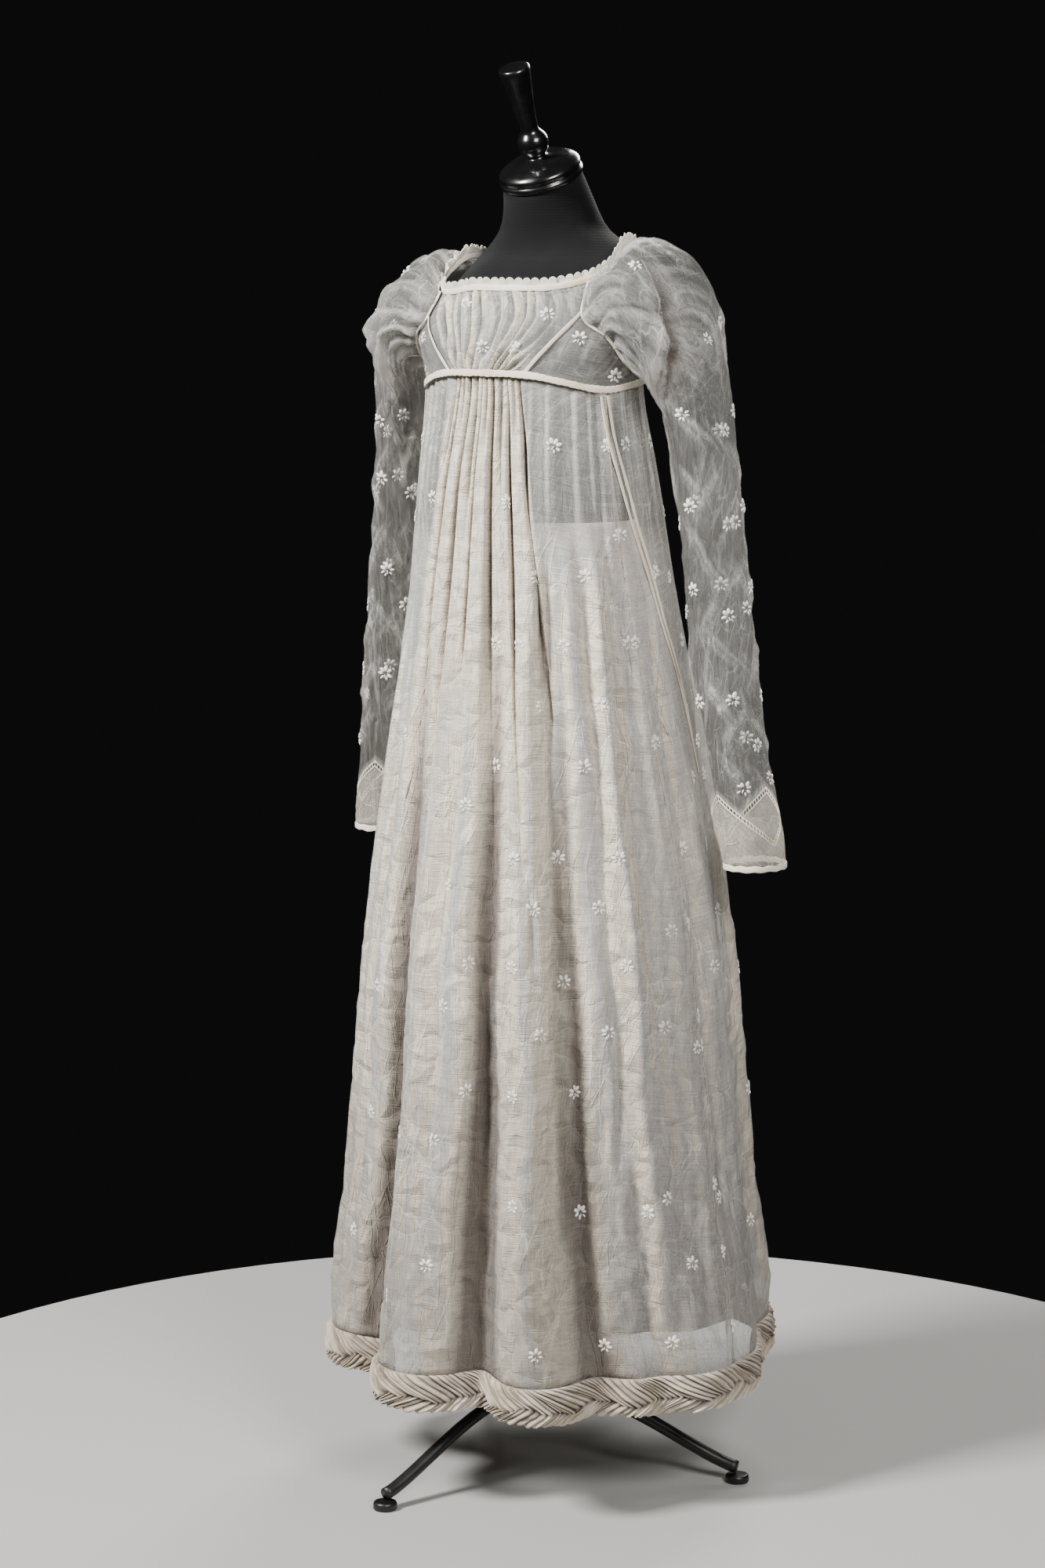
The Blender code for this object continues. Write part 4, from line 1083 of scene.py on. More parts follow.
def skirt_cover(angle, height, points, pleated):
    """How much of the view each wall hides: more where the cloth is gathered or lies on edge."""
    smooth = body_point(SKIRT_LEVELS, angle, height)
    steep = edge_on(points, smooth, points * [0, 0, 1])
    steep = steep + RIPPLE_COVER * np.clip(waist_ripple(angle, height), 0, None)
    seam = bell(waist_height(angle) - height, 0.012)
    gathered = pleated * (0.52 * ease((height - 0.78) / 0.38) + 0.10)
    below = 0.16 * ease((UNDERSKIRT_TOP - height) / 0.03)
    return np.clip(looks().sheerness + below + gathered + 0.90 * steep**1.4 + 0.2 * seam, 0, 0.9)


# Share of painted shade at the hem, for the light falling off lower down.
HEM_GREY = 0.48
SKIRT_TOP = WAIST_SEAM[0].height
SKIRT_BOTTOM = HEM_HEIGHT + TRIM_HEIGHT


def skirt_rows(rows):
    share = np.linspace(0, 1, rows)
    share = share + 0.10 * np.sin(np.pi * share) * (share - 1)
    return share[:, None]


def skirt_height(share, angle):
    top = waist_height(angle)
    return top + (SKIRT_BOTTOM - top) * share


def skirt_panel_plan(spread, middle, pleats, inner_columns, outer_columns, rows):
    """Angle, height and pleat crest over a pleated panel's grid."""
    share = skirt_rows(rows)
    level = SKIRT_TOP + (SKIRT_BOTTOM - SKIRT_TOP) * share
    inner = np.linspace(-1, 1, inner_columns)
    outer = np.linspace(0, 1, outer_columns + 1)[1:]
    across = np.concatenate([-1 - outer[::-1], inner, 1 + outer])[None, :]
    half = read(spread, "height", "pleats_half", level)
    panel = read(spread, "height", "panel_half", level)
    side = np.sign(across) * (half + (np.abs(across) - 1) * (panel - half))
    pleated = np.abs(across) <= 1
    angle = middle + np.where(pleated, across * half, side)
    uneven = across + 0.040 * np.sin(9 * across + 2.2 * share) * (1 - across**2)
    turns = pleats * (uneven + 1) / 2
    number = np.clip(np.floor(turns).astype(int), 0, pleats - 1) % len(PLEAT_TROUGHS)
    ends = column(PLEAT_TROUGHS, "ends")[number]
    depth = column(PLEAT_TROUGHS, "share")[number] * ease((level - ends) / 0.10)
    trough = (0.5 - 0.5 * np.cos(2 * np.pi * turns)) ** 1.6
    crest = 1 - 2 * depth * trough * (1 + 0.12 * np.sin(4 * np.pi * turns))
    pleat = np.where(pleated, crest, 1.0) + 0 * share
    near = np.where(pleated, ease((1 - np.abs(across)) * 6), 0.0) + 0 * share
    return angle, skirt_height(share, angle), pleat, near


def gore_plan(side, columns, rows):
    """Angle and height over a gore, from the front panel's seam to the back panel's."""
    share = skirt_rows(rows)
    level = SKIRT_TOP + (SKIRT_BOTTOM - SKIRT_TOP) * share
    front = -90 + read(FRONT_SPREAD, "height", "panel_half", level)
    back = 90 - read(BACK_SPREAD, "height", "panel_half", level)
    low, high = (front, back) if side > 0 else (180 - back, 180 - front)
    angle = low + (high - low) * np.linspace(0, 1, columns)[None, :]
    return angle, skirt_height(share, angle)


def fold_shade(angle, height, crests=0.0):
    """The painted shade of the deep folds: their depth against the deepest at this height, less the
    crests.
    """
    deepest = 0.012 + 0.050 * ease((1.15 - height) / 1.03)
    return ease((fold_depth(angle, height) / deepest - crests - 0.30) / 0.60)


def skirt_sheet(name, angle, height, pleat=1.0, near=0.0):
    """A panel with its shares of cover and of painted brown shade: in the deep folds and pleat troughs,
    and growing towards the hem for the light falling off lower down.
    """
    points = skirt_surface(angle, height, pleat)
    cover = skirt_cover(angle, height, points, near)
    shaded = fold_shade(angle, height, 20 * flute_depth(angle, height))
    troughs = (1 - pleat) * ease((height - 0.9) / 0.15) * 0.35
    # Painted shade that grows towards the hem, for the light falling off lower down.
    painted_falloff = HEM_GREY * ease((0.75 - height) / 0.60)
    hollow = np.clip(0.90 * shaded + troughs + painted_falloff, 0, 0.9)
    columns = np.arange(angle.shape[1])
    felled = bell(np.minimum(columns, columns[::-1]), 1.5)
    # The folds' painted shade also adds cover, so that it shows through the sheer wall.
    cover = np.clip(cover + 0.35 * shaded + FELLED_SEAM_COVER * felled, 0, 0.9)
    shares = {"cover": cover, "hollow": hollow}
    thing = grid_object(name + "_cloth", points, finish("muslin"), wall=SHELL, **shares)
    stand_in(thing, name)
    PANELS["skirt"][name] = (points, float(angle.min()), float(angle.max()))


def build_skirt():
    sizes = {"inner_columns": 176, "outer_columns": 40, "rows": 144}
    skirt_sheet("skirt_front", *skirt_panel_plan(FRONT_SPREAD, -90, FRONT_PLEATS, **sizes))
    sizes = {"inner_columns": 112, "outer_columns": 22, "rows": 126}
    skirt_sheet("skirt_back", *skirt_panel_plan(BACK_SPREAD, 90, BACK_PLEATS, **sizes))
    for side, word in SIDES:
        skirt_sheet("skirt_side_" + word, *gore_plan(side, columns=80, rows=124))


def form_point(angle, height, outward):
    """A point outside the dress form's torso, on the straight lines between its levels."""
    turn = np.radians(angle)
    heights = column(FORM_LEVELS, "height")
    names = ("half_width", "half_depth", "centre_y")
    width, depth, middle = (np.interp(height, heights, column(FORM_LEVELS, n)) for n in names)
    x = (width + outward) * np.cos(turn)
    y = middle + (depth + outward) * np.sin(turn)
    x, y, z = np.broadcast_arrays(x, y, height)
    return np.stack([x, y, z], axis=-1)


def build_underskirt():
    """Eased from the form's waist to a surface inside the skirt that follows the same folds."""
    angle = np.linspace(-180, 180, 170, endpoint=False)[None, :]
    share = (np.linspace(0, 1, 60) ** 1.15)[:, None]
    height = UNDERSKIRT_TOP + (UNDERSKIRT_HEM - UNDERSKIRT_TOP) * share + 0 * angle
    waist = form_point(angle, height, 0.0013)
    folds = fold_depth(angle, height)
    hanging = skirt_point(angle, height, UNDERSKIRT_INSET + pleat_depth(height) + 0.25 * folds)
    flare = ease((UNDERSKIRT_TOP - height) / UNDERSKIRT_FLARE)[..., None]
    points = waist + (hanging - waist) * flare
    normal = normals_of(points, points * [0, 0, 1], closed=True)
    points = points + normal * crumple(points, "under layer")[..., None] * flare
    # Painted shade: growing towards the hem for the light falling off lower down, and in the deep folds.
    painted_falloff = 1.3 * HEM_GREY * ease((0.85 - height) / 0.65)
    hollow = np.clip(painted_falloff + 0.6 * fold_shade(angle, height), 0, 0.9)
    shares = {"wall": UNDERSKIRT_WALL, "hollow": hollow}
    thing = grid_object("underskirt_cloth", points, finish("lining"), closed=True, **shares)
    stand_in(thing, "underskirt")


# ---- bodice ------------------------------------------------------------------------------------
BODICE_CREASES = table(
    "angle height length lean width depth",
    (-30, 1.350, 0.060, 38, 0.0050, 0.0016),
    (-22, 1.325, 0.050, 30, 0.0040, -0.0012),
    (-38, 1.330, 0.045, 12, 0.0040, 0.0012),
    (-50, 1.335, 0.050, 8, 0.0045, 0.0014),
    (-58, 1.325, 0.035, 4, 0.0040, -0.0010),
    (-12, 1.308, 0.030, 45, 0.0040, 0.0012),
    (20, 1.325, 0.040, -30, 0.0045, 0.0013),
    (34, 1.335, 0.050, -12, 0.0045, 0.0014),
    (50, 1.345, 0.055, -4, 0.0050, -0.0012),
    (-130, 1.335, 0.050, -8, 0.0045, 0.0014),
    (-148, 1.345, 0.060, -36, 0.0050, 0.0015),
    (-158, 1.325, 0.040, -30, 0.0040, -0.0012),
    (160, 1.325, 0.040, 28, 0.0045, 0.0013),
    (142, 1.335, 0.050, 10, 0.0045, 0.0014),
    (72, 1.370, 0.050, 6, 0.0050, 0.0012),
    (108, 1.360, 0.055, -6, 0.0050, 0.0012),
)
GATHERS = 13
GATHER_DEPTH = 0.0034
SIDE_COLUMNS = 46


def bodice_surface(plane, gathered, relief=False):
    """A patch between two edges, gathered by slanted ridges that are strongest near both edges.

    The plane holds angle and height; each ridge is a sharpened cosine across the patch.
    """
    angle = plane[..., 0]
    height = plane[..., 1]
    points = bodice_point(angle, height)
    radius = np.hypot(points[..., 0], points[..., 1])
    out = creases(BODICE_CREASES, angle, height, radius)
    out = out + crumple(points, "bodice")
    rows, columns = angle.shape
    up = np.linspace(0, 1, rows)[:, None]
    if gathered:
        across = np.linspace(0, 1, columns)[None, :]
        slant = across - 0.10 * np.sin(np.pi * up) - 0.05 * up
        wobble = 0.018 * np.sin(17 * across + 1.0) + 0.010 * np.sin(41 * across + 3 * up)
        turns = GATHERS * (slant + wobble)
        sharp = np.cos(2 * np.pi * turns)
        sharp = sharp + 0.35 * np.cos(4 * np.pi * turns + 0.8)
        strength = 0.80 + 0.20 * np.cos(2 * np.pi * up)
        strength = strength * ease((0.46 - np.abs(across - 0.5 + 0.06 * up)) / 0.16)
        uneven = 0.75 + 0.35 * np.sin(2 * np.pi * turns / 3.3)
        out = out + GATHER_DEPTH * sharp * strength * uneven
        fine = np.sin(2 * np.pi * GATHERS * 2.6 * slant)
        out = out + 0.0006 * fine * (1 - ease(up / 0.25) + ease((up - 0.8) / 0.2))
        out = out * ease(np.minimum(across, 1 - across) / 0.05)
    edge = ease(up / 0.10) * ease((1 - up) / 0.08)
    keep = 0.35 + 0.65 * edge
    normal = normals_of(points, points * [0, 0, 1])
    return out * keep if relief else points + normal * (out * keep)[..., None]


def bodice_plane(low, high, rows):
    """Straight lines from each point of the low edge to its fellow on the high edge."""
    return low + (high - low) * np.linspace(0, 1, rows)[:, None, None]


def bodice_sheet(name, plane, gathered=False):
    points = bodice_surface(plane, gathered)
    up = np.linspace(0, 1, len(plane))[:, None]
    smooth = bodice_point(plane[..., 0], plane[..., 1])
    steep = edge_on(points, smooth, points * [0, 0, 1])
    # Painted shade in the troughs of the gathers; their crests get more cover.
    relief = bodice_surface(plane, gathered, relief=True) / GATHER_DEPTH * gathered
    cover = 0.90 * looks().sheerness + 0.10 * bell(up, 0.05) + 0.75 * steep**1.3
    cover = cover + 0.10 * bell(1 - up, 0.05) + 0.30 * np.clip(relief, 0, 1)
    shares = {"cover": cover, "hollow": 0.8 * np.clip(-relief, 0, 1)}
    thing = grid_object(name + "_cloth", points, finish("muslin"), wall=SHELL, **shares)
    stand_in(thing, name)
    PANELS["bodice"][name] = points


def mirrored_edge(edge, side):
    if side > 0:
        return edge
    return np.stack([180 - edge[::-1, 0], edge[::-1, 1]], axis=-1)


def edge_line(first, last, height_of):
    angle = np.linspace(first, last, SIDE_COLUMNS)
    return np.stack([angle, height_of(angle)], axis=-1)


def centre_plane(middle, corners, columns, rows):
    """Angle and height of a front or back panel, whose side edges run through its seam's corners."""
    halves, heights = np.asarray(corners, float).T
    edge_height = np.linspace(heights[0], heights[-1], rows)
    half = np.interp(edge_height, heights, halves)[:, None]
    share = np.linspace(-1, 1, columns)[None, :]
    up = np.linspace(0, 1, rows)[:, None]
    low = waist_height(middle + share * half[0])
    high = neck_height(middle + share * half[-1])
    return np.stack([middle + share * half, low + (high - low) * up], axis=-1)


def build_bodice():
    seam = (
        (21, float(waist_height(-69))),
        (ARMHOLE[1].angle + 90, ARMHOLE[1].height),
        (ARMHOLE[0].angle + 90, ARMHOLE[0].height),
    )
    bodice_sheet("bodice_front", centre_plane(-90, seam, columns=156, rows=36), gathered=True)
    seam = (
        (20, float(waist_height(70))),
        (90 - ARMHOLE[-2].angle, ARMHOLE[-2].height),
        (90 - ARMHOLE[-1].angle, ARMHOLE[-1].height),
    )
    bodice_sheet("bodice_back", centre_plane(90, seam, columns=70, rows=44))
    for side, word in SIDES:
        low = mirrored_edge(edge_line(-69, 2, waist_height), side)
        high = mirrored_edge(edge_line(ARMHOLE[1].angle, 2, armhole_height), side)
        bodice_sheet("bodice_side_front_" + word, bodice_plane(low, high, rows=30))
        low = mirrored_edge(edge_line(2, 70, waist_height), side)
        high = mirrored_edge(edge_line(2, 44, armhole_height), side)
        bodice_sheet("bodice_side_back_" + word, bodice_plane(low, high, rows=30))


# ---- neck trims and tapes ----------------------------------------------------------------------
# Width and thickness of each kind of tape, and how far its middle lies outside the cloth.
TAPES = {
    row.name: row
    for row in table(
        "name width thickness out",
        ("waist", 0.0076, 0.0016, 0.0034),
        ("front seam", 0.0045, 0.0014, 0.0022),
        ("side opening", 0.0040, 0.0013, 0.0018),
        ("neck band", NECK_BAND_HEIGHT, 0.0024, 0.0004),
        ("cuff band", CUFF_BAND_HEIGHT, 0.0016, 0.0),
        ("piping", 0.0030, 0.0022, 0.0),
    )
}
TAPE_SIDES = 12


def tape_section(width, thickness):
    """A closed flat oval: (across, out) pairs round a tape of this width and thickness."""
    turn = np.linspace(0, 2 * np.pi, TAPE_SIDES, endpoint=False)
    across = np.sign(np.cos(turn)) * np.abs(np.cos(turn)) ** 0.5 * width / 2
    out = np.sign(np.sin(turn)) * np.abs(np.sin(turn)) ** 0.7 * thickness / 2
    return np.stack([across, out], axis=-1)


def tape_object(name, path, outward, kind, closed=False):
    """A tape along a path, a little uneven: across is square to the path and to the outward direction."""
    section = tape_section(kind.width, kind.thickness)
    along = unit(gradient(path, 0, closed))
    across = unit(np.cross(outward, along))
    out = np.cross(along, across)
    width = np.linalg.norm(section, axis=-1).max()
    drawn = lattice_noise(path, 0.009, 3)
    path = path + across * (0.10 * width * lattice_noise(path, 0.016, 7))[:, None]
    across = across * (1 + 0.16 * drawn)[:, None]
    out = out * (1 + 0.30 * drawn)[:, None]
    rings = path[:, None] + across[:, None] * section[None, :, :1] + out[:, None] * section[None, :, 1:]
    grid = np.swapaxes(rings if closed else capped(rings), 0, 1)
    middle = grid.mean(axis=0, keepdims=True)
    thing = grid_object(name, grid, finish("tape"), middle=middle, closed=closed, ring=True)
    return thing


def sewn_tape(name, path, outward, kind, closed=False):
    stand_in(tape_object(name + "_cloth", path, outward, kind, closed), name)


def horizontal_out(points):
    return unit(points * [1, 1, 0] + np.array([0, 0.01, 0]))


def round_body(columns):
    return np.linspace(-180, 180, columns, endpoint=False)


def build_tapes():
    """The waist tape, the front seam tapes, and two tapes along each side opening."""
    kind = TAPES["waist"]
    angle = round_body(420)
    height = waist_height(angle)
    path = bodice_point(angle, height, -kind.out)
    path[:, 2] = height + 0.0004 * np.sin(angle * 1.9)
    sewn_tape("waist_tape", path, horizontal_out(path), kind, closed=True)
    junction = ARMHOLE[1]
    foot = float(waist_height(-69))
    share = np.linspace(0.03, 0.99, 40)
    for side, word in SIDES:
        kind = TAPES["front seam"]
        angle = -69 + (junction.angle + 69) * share
        height = foot + (junction.height - foot) * share
        angle = angle if side > 0 else 180 - angle
        path = bodice_point(angle, height, -kind.out)
        sewn_tape("princess_tape_" + word, path, horizontal_out(path), kind)
        kind = TAPES["side opening"]
        height = np.linspace(PLACKET[-1].height, PLACKET[0].height + 0.007, 90)
        angle = read(PLACKET, "height", "angle", height)
        angle = angle if side > 0 else 180 - angle
        path = skirt_point(angle, height, -kind.out)
        out = horizontal_out(path)
        beside = np.stack([-out[:, 1], out[:, 0], 0 * height], axis=-1) * side
        wander = 0.0008 * np.sin(height * 60) * side
        off = (PLACKET_TAPE_SPACE + kind.width) / 2
        for edge, place in (("front", -off), ("back", off)):
            line = path + beside * (place + wander)[:, None]
            sewn_tape(f"placket_tape_{word}_{edge}", line, out, kind)


def build_neck_trims():
    """A folded band round the neck, and lace whose edge is a row of half circles, lightly ruffled."""
    kind = TAPES["neck band"]
    angle = round_body(480)
    path = bodice_point(angle, neck_height(angle), -kind.out)
    path[:, 2] = neck_height(angle) + NECK_BAND_HEIGHT / 2
    sewn_tape("neck_band", path, horizontal_out(path), kind, closed=True)
    angle = round_body(12 * LACE_SCALLOPS)[None, :]
    turn = np.radians(angle)
    up = np.linspace(0, 1, 6)[:, None]
    scallop = np.abs(np.sin(turn * LACE_SCALLOPS / 2)) ** 0.6
    ruffle = np.sin(turn * 31 + 0.7 * np.sin(turn * 7))
    strap = bell(off_middle(angle, -158), 22)
    inward = up * (0.0016 * ruffle * (1 + 1.5 * strap) - 0.0012 + 0.006 * strap)
    points = bodice_point(angle, neck_height(angle) + 0 * up, inward)
    tall = LACE_HEIGHT * (0.55 + 0.45 * scallop) * (1 + 0.7 * strap)
    points[..., 2] = neck_height(angle) + NECK_BAND_HEIGHT - 0.0006 + up * tall
    thing = grid_object("neck_lace_cloth", points, finish("lace"), closed=True, wall=LACE_WALL)
    stand_in(thing, "neck_lace")


# ---- sleeves -----------------------------------------------------------------------------------
def sleeve_ring(outer_z, turn):
    """A point on the sleeve's ellipse whose outer end is at this height."""
    values = {}
    for name in ("outer_x", "inner_x", "inner_z", "centre_y", "half_depth"):
        values[name] = read(SLEEVE_RINGS, "outer_z", name, outer_z)
    out = np.sin(np.radians(turn)) * 0.5 + 0.5
    x = values["inner_x"] + (values["outer_x"] - values["inner_x"]) * out
    z = values["inner_z"] + (outer_z - values["inner_z"]) * out
    y = values["centre_y"] + values["half_depth"] * np.cos(np.radians(turn))
    return np.stack(np.broadcast_arrays(x, y, z), axis=-1)


# Where each turn of the sleeve meets the bodice: turn and angle in degrees, height in metres.
ARMHOLE_LOOP = table(
    "turn angle height",
    (40, 45, 1.4335),
    (140, -43, 1.4085),
    (160, -46, 1.3760),
    (195, -30, 1.3465),
    (235, -14, 1.3175),
    (270, 2, 1.3055),
    (305, 18, 1.3195),
    (345, 34, 1.3510),
    (380, 44, 1.3930),
    (400, 45, 1.4335),
)


def armhole_loop(turn):
    """The seam that the sleeve head is sewn to: over the shoulder, then down round the arm."""
    wrapped = (turn - 40) % 360 + 40
    angle = read(ARMHOLE_LOOP, "turn", "angle", wrapped)
    over = wrapped <= 140
    height = np.where(over, neck_height(angle), read(ARMHOLE_LOOP, "turn", "height", wrapped))
    outward = np.where(over, 0.0030, 0.0024)
    return bodice_point(angle, height, -outward)


def build_piping():
    """A corded seam round each armhole: a thin round tube that lies on the sleeve head's loop."""
    turn = np.linspace(0, 360, 220, endpoint=False)
    for side, word in SIDES:
        loop = armhole_loop(turn)
        away = unit(loop - loop.mean(axis=0))
        path = (loop + away * 0.0012 + horizontal_out(loop) * 0.0008) * [side, 1, 1]
        out = horizontal_out(path)
        thing = tape_object("armhole_piping_" + word, path, out, TAPES["piping"], closed=True)


def zigzag(turn):
    """The height of the insertion round the wrist: two peaks and two valleys."""
    wave = ((turn - 10) / 180) % 1.0
    return INSERTION_HEIGHT + INSERTION_RISE * (np.abs(wave - 0.5) * 4 - 1)


SLEEVE_WRINKLES = table(
    "turn height length lean width depth",
    (186, 1.400, 0.070, 78, 0.0042, 0.0034),
    (182, 1.388, 0.080, 70, 0.0042, -0.0030),
    (180, 1.376, 0.085, 62, 0.0042, 0.0036),
    (178, 1.362, 0.085, 55, 0.0042, -0.0030),
    (182, 1.350, 0.080, 50, 0.0042, 0.0034),
    (168, 1.412, 0.070, 88, 0.0045, -0.0026),
    (120, 1.395, 0.110, 35, 0.0060, 0.0030),
    (100, 1.370, 0.120, 28, 0.0060, -0.0028),
    (128, 1.300, 0.120, 18, 0.0060, 0.0034),
    (112, 1.280, 0.120, 14, 0.0060, -0.0028),
    (150, 1.345, 0.110, 40, 0.0080, 0.0050),
    (170, 1.330, 0.090, 25, 0.0070, -0.0045),
    (185, 1.350, 0.080, 12, 0.0070, 0.0040),
    (130, 1.370, 0.090, 55, 0.0070, -0.0035),
    (110, 1.335, 0.110, 60, 0.0080, 0.0035),
    (60, 1.360, 0.090, -50, 0.0080, 0.0035),
    (30, 1.335, 0.090, -30, 0.0070, -0.0035),
    (10, 1.345, 0.080, -15, 0.0070, 0.0035),
    (160, 1.250, 0.100, 48, 0.0060, 0.0034),
    (120, 1.235, 0.090, 52, 0.0060, -0.0030),
    (90, 1.215, 0.100, 45, 0.0060, 0.0030),
    (175, 1.190, 0.080, 50, 0.0055, 0.0030),
    (140, 1.165, 0.100, -42, 0.0060, 0.0032),
    (105, 1.150, 0.090, -48, 0.0055, -0.0028),
    (70, 1.160, 0.090, 40, 0.0060, 0.0030),
    (40, 1.200, 0.090, -45, 0.0060, 0.0030),
    (15, 1.150, 0.090, 38, 0.0060, -0.0028),
    (165, 1.100, 0.110, 30, 0.0055, 0.0032),
    (130, 1.085, 0.090, 46, 0.0055, -0.0028),
    (95, 1.075, 0.100, -40, 0.0060, 0.0030),
    (55, 1.070, 0.090, 42, 0.0060, 0.0028),
    (20, 1.060, 0.090, -40, 0.0060, 0.0028),
    (170, 1.020, 0.090, -36, 0.0055, 0.0030),
    (145, 0.995, 0.100, 44, 0.0055, 0.0032),
    (110, 0.985, 0.090, 52, 0.0050, -0.0026),
    (80, 0.970, 0.100, -46, 0.0055, 0.0030),
    (40, 0.980, 0.090, 40, 0.0060, 0.0028),
    (160, 0.935, 0.100, 38, 0.0055, 0.0030),
    (125, 0.915, 0.090, -44, 0.0050, 0.0028),
    (90, 0.900, 0.090, 50, 0.0050, -0.0026),
    (30, 0.900, 0.090, -42, 0.0055, 0.0028),
    (150, 0.865, 0.070, 48, 0.0050, 0.0026),
    (100, 0.850, 0.070, 40, 0.0050, 0.0024),
    (230, 1.200, 0.120, 20, 0.0070, 0.0034),
    (270, 1.120, 0.120, -18, 0.0070, 0.0034),
    (310, 1.180, 0.110, 24, 0.0070, -0.0030),
    (250, 1.000, 0.110, 26, 0.0070, 0.0032),
    (300, 0.950, 0.110, -26, 0.0070, 0.0032),
)


SLEEVE_RADIUS = 0.045


def wrinkles(table, turn, height, shift):
    """The sum of slanting sleeve wrinkles, each a bell curve across and a fading one along."""
    total = np.zeros(np.broadcast(turn, height).shape)
    for row in table:
        lean = math.radians(row.lean + 6 * math.sin(row.height * 40 + shift))
        across = np.radians(off_middle(turn, row.turn + 5 * shift)) * SLEEVE_RADIUS
        up = height - row.height - 0.006 * math.sin(row.turn + 3 * shift)
        total = total + one_crease(row, across, up, lean, 0)
    return total


# The gathered head hangs over a fold that runs down its front: the fold's turn at each height.
PUFF_FOLD = table(
    "height turn depth",
    (1.265, 205, 0.000),
    (1.285, 196, 0.006),
    (1.310, 174, 0.011),
    (1.335, 157, 0.012),
    (1.365, 150, 0.011),
    (1.390, 139, 0.009),
    (1.412, 136, 0.005),
    (1.430, 135, 0.000),
)


PUFF_RADIUS = 0.060


def puff_fold(turn, height):
    """A ridge that rises gently from the seam and drops sharply into a trough on its outer side."""
    line = read(PUFF_FOLD, "height", "turn", height)
    depth = read(PUFF_FOLD, "height", "depth", height)
    off = np.radians(turn - line) * PUFF_RADIUS
    inner = ease((off + 0.003) / 0.006)
    ridge = bell(np.maximum(off, 0), 0.030) * inner
    trough = bell(off + 0.004, 0.014) * (1 - inner)
    return depth * (ridge - 0.8 * trough)


def sleeve_base(turn, rows):
    """The smooth sleeve: the armhole seam, the rings, and the zigzag edge, through a smooth curve."""
    bottom = zigzag(turn) + INSERTION_WIDTH / 2
    keys = [armhole_loop(turn)]
    for ring in SLEEVE_RINGS[:10]:
        keys.append(sleeve_ring(ring.outer_z, turn))
    low = sleeve_ring(0.85, turn)
    middle = low.copy()
    middle[:, 2] = 0.5 * (keys[-1][:, 2] + bottom)
    middle[:, :2] = 0.5 * (keys[-1][:, :2] + low[:, :2])
    last = sleeve_ring(bottom, turn)
    last[:, 2] = bottom
    keys = np.array(keys + [middle, last])
    steps = np.linalg.norm(np.diff(keys, axis=0), axis=-1).mean(axis=1)
    place = np.concatenate([[0], np.cumsum(steps)])
    slope = np.gradient(keys, place, axis=0)
    at = np.linspace(0, place[-1], rows)
    low = np.clip(np.searchsorted(place, at, side="right") - 1, 0, len(place) - 2)
    span = place[low + 1] - place[low]
    t = (at - place[low]) / span
    return cubic(keys, slope, low, span[:, None, None], t[:, None, None])


def sleeve_surface(turn, base, side):
    """The smooth sleeve with its gathered head, slanting wrinkles and crumples set along its normals."""
    height = base[..., 2]
    around = np.radians(turn)
    down = lengths_along(base, 0)
    left = down[-1:] - down
    gathers = 0.0030 * np.cos(around * 19 + 0.8 * np.sin(around * 5)) + 0.0012 * np.cos(around * 41)
    gathers = gathers * bell(down, 0.070)
    out = wrinkles(SLEEVE_WRINKLES, turn, height, 0.0 if side > 0 else 1.0)
    out = out + puff_fold(turn, height) + gathers * (0.3 + 0.7 * ease(down / 0.006))
    more_seed = 0 if side > 0 else 8
    out = out + crumple(base, "sleeve", more_seed) + crumple(base, "sleeve, fine", more_seed)
    keep = ease(down / 0.012) * ease(left / 0.030)
    out = out * (0.15 + 0.85 * keep) + 0.4 * gathers * (1 - ease(down / 0.012))
    normal = normals_of(base, base.mean(axis=1, keepdims=True), closed=True)
    return base + normal * out[..., None]


def sleeve_sheet(name, points, side, material, held, rests_on, cover, hollow=0.0):
    points = points * [side, 1, 1]
    centre = points.mean(axis=1, keepdims=True)
    shares = {"wall": SHELL, "cover": cover, "hollow": hollow}
    thing = grid_object(name + "_cloth", points, material, middle=centre, closed=True, **shares)
    stand_in(thing, name)
    return points


SLEEVE_ROWS = 130
SLEEVE_COLUMNS = 132
CUFF_ROWS = 14
FULL_PUFF = 0.007
FULL_WRINKLE = 0.004


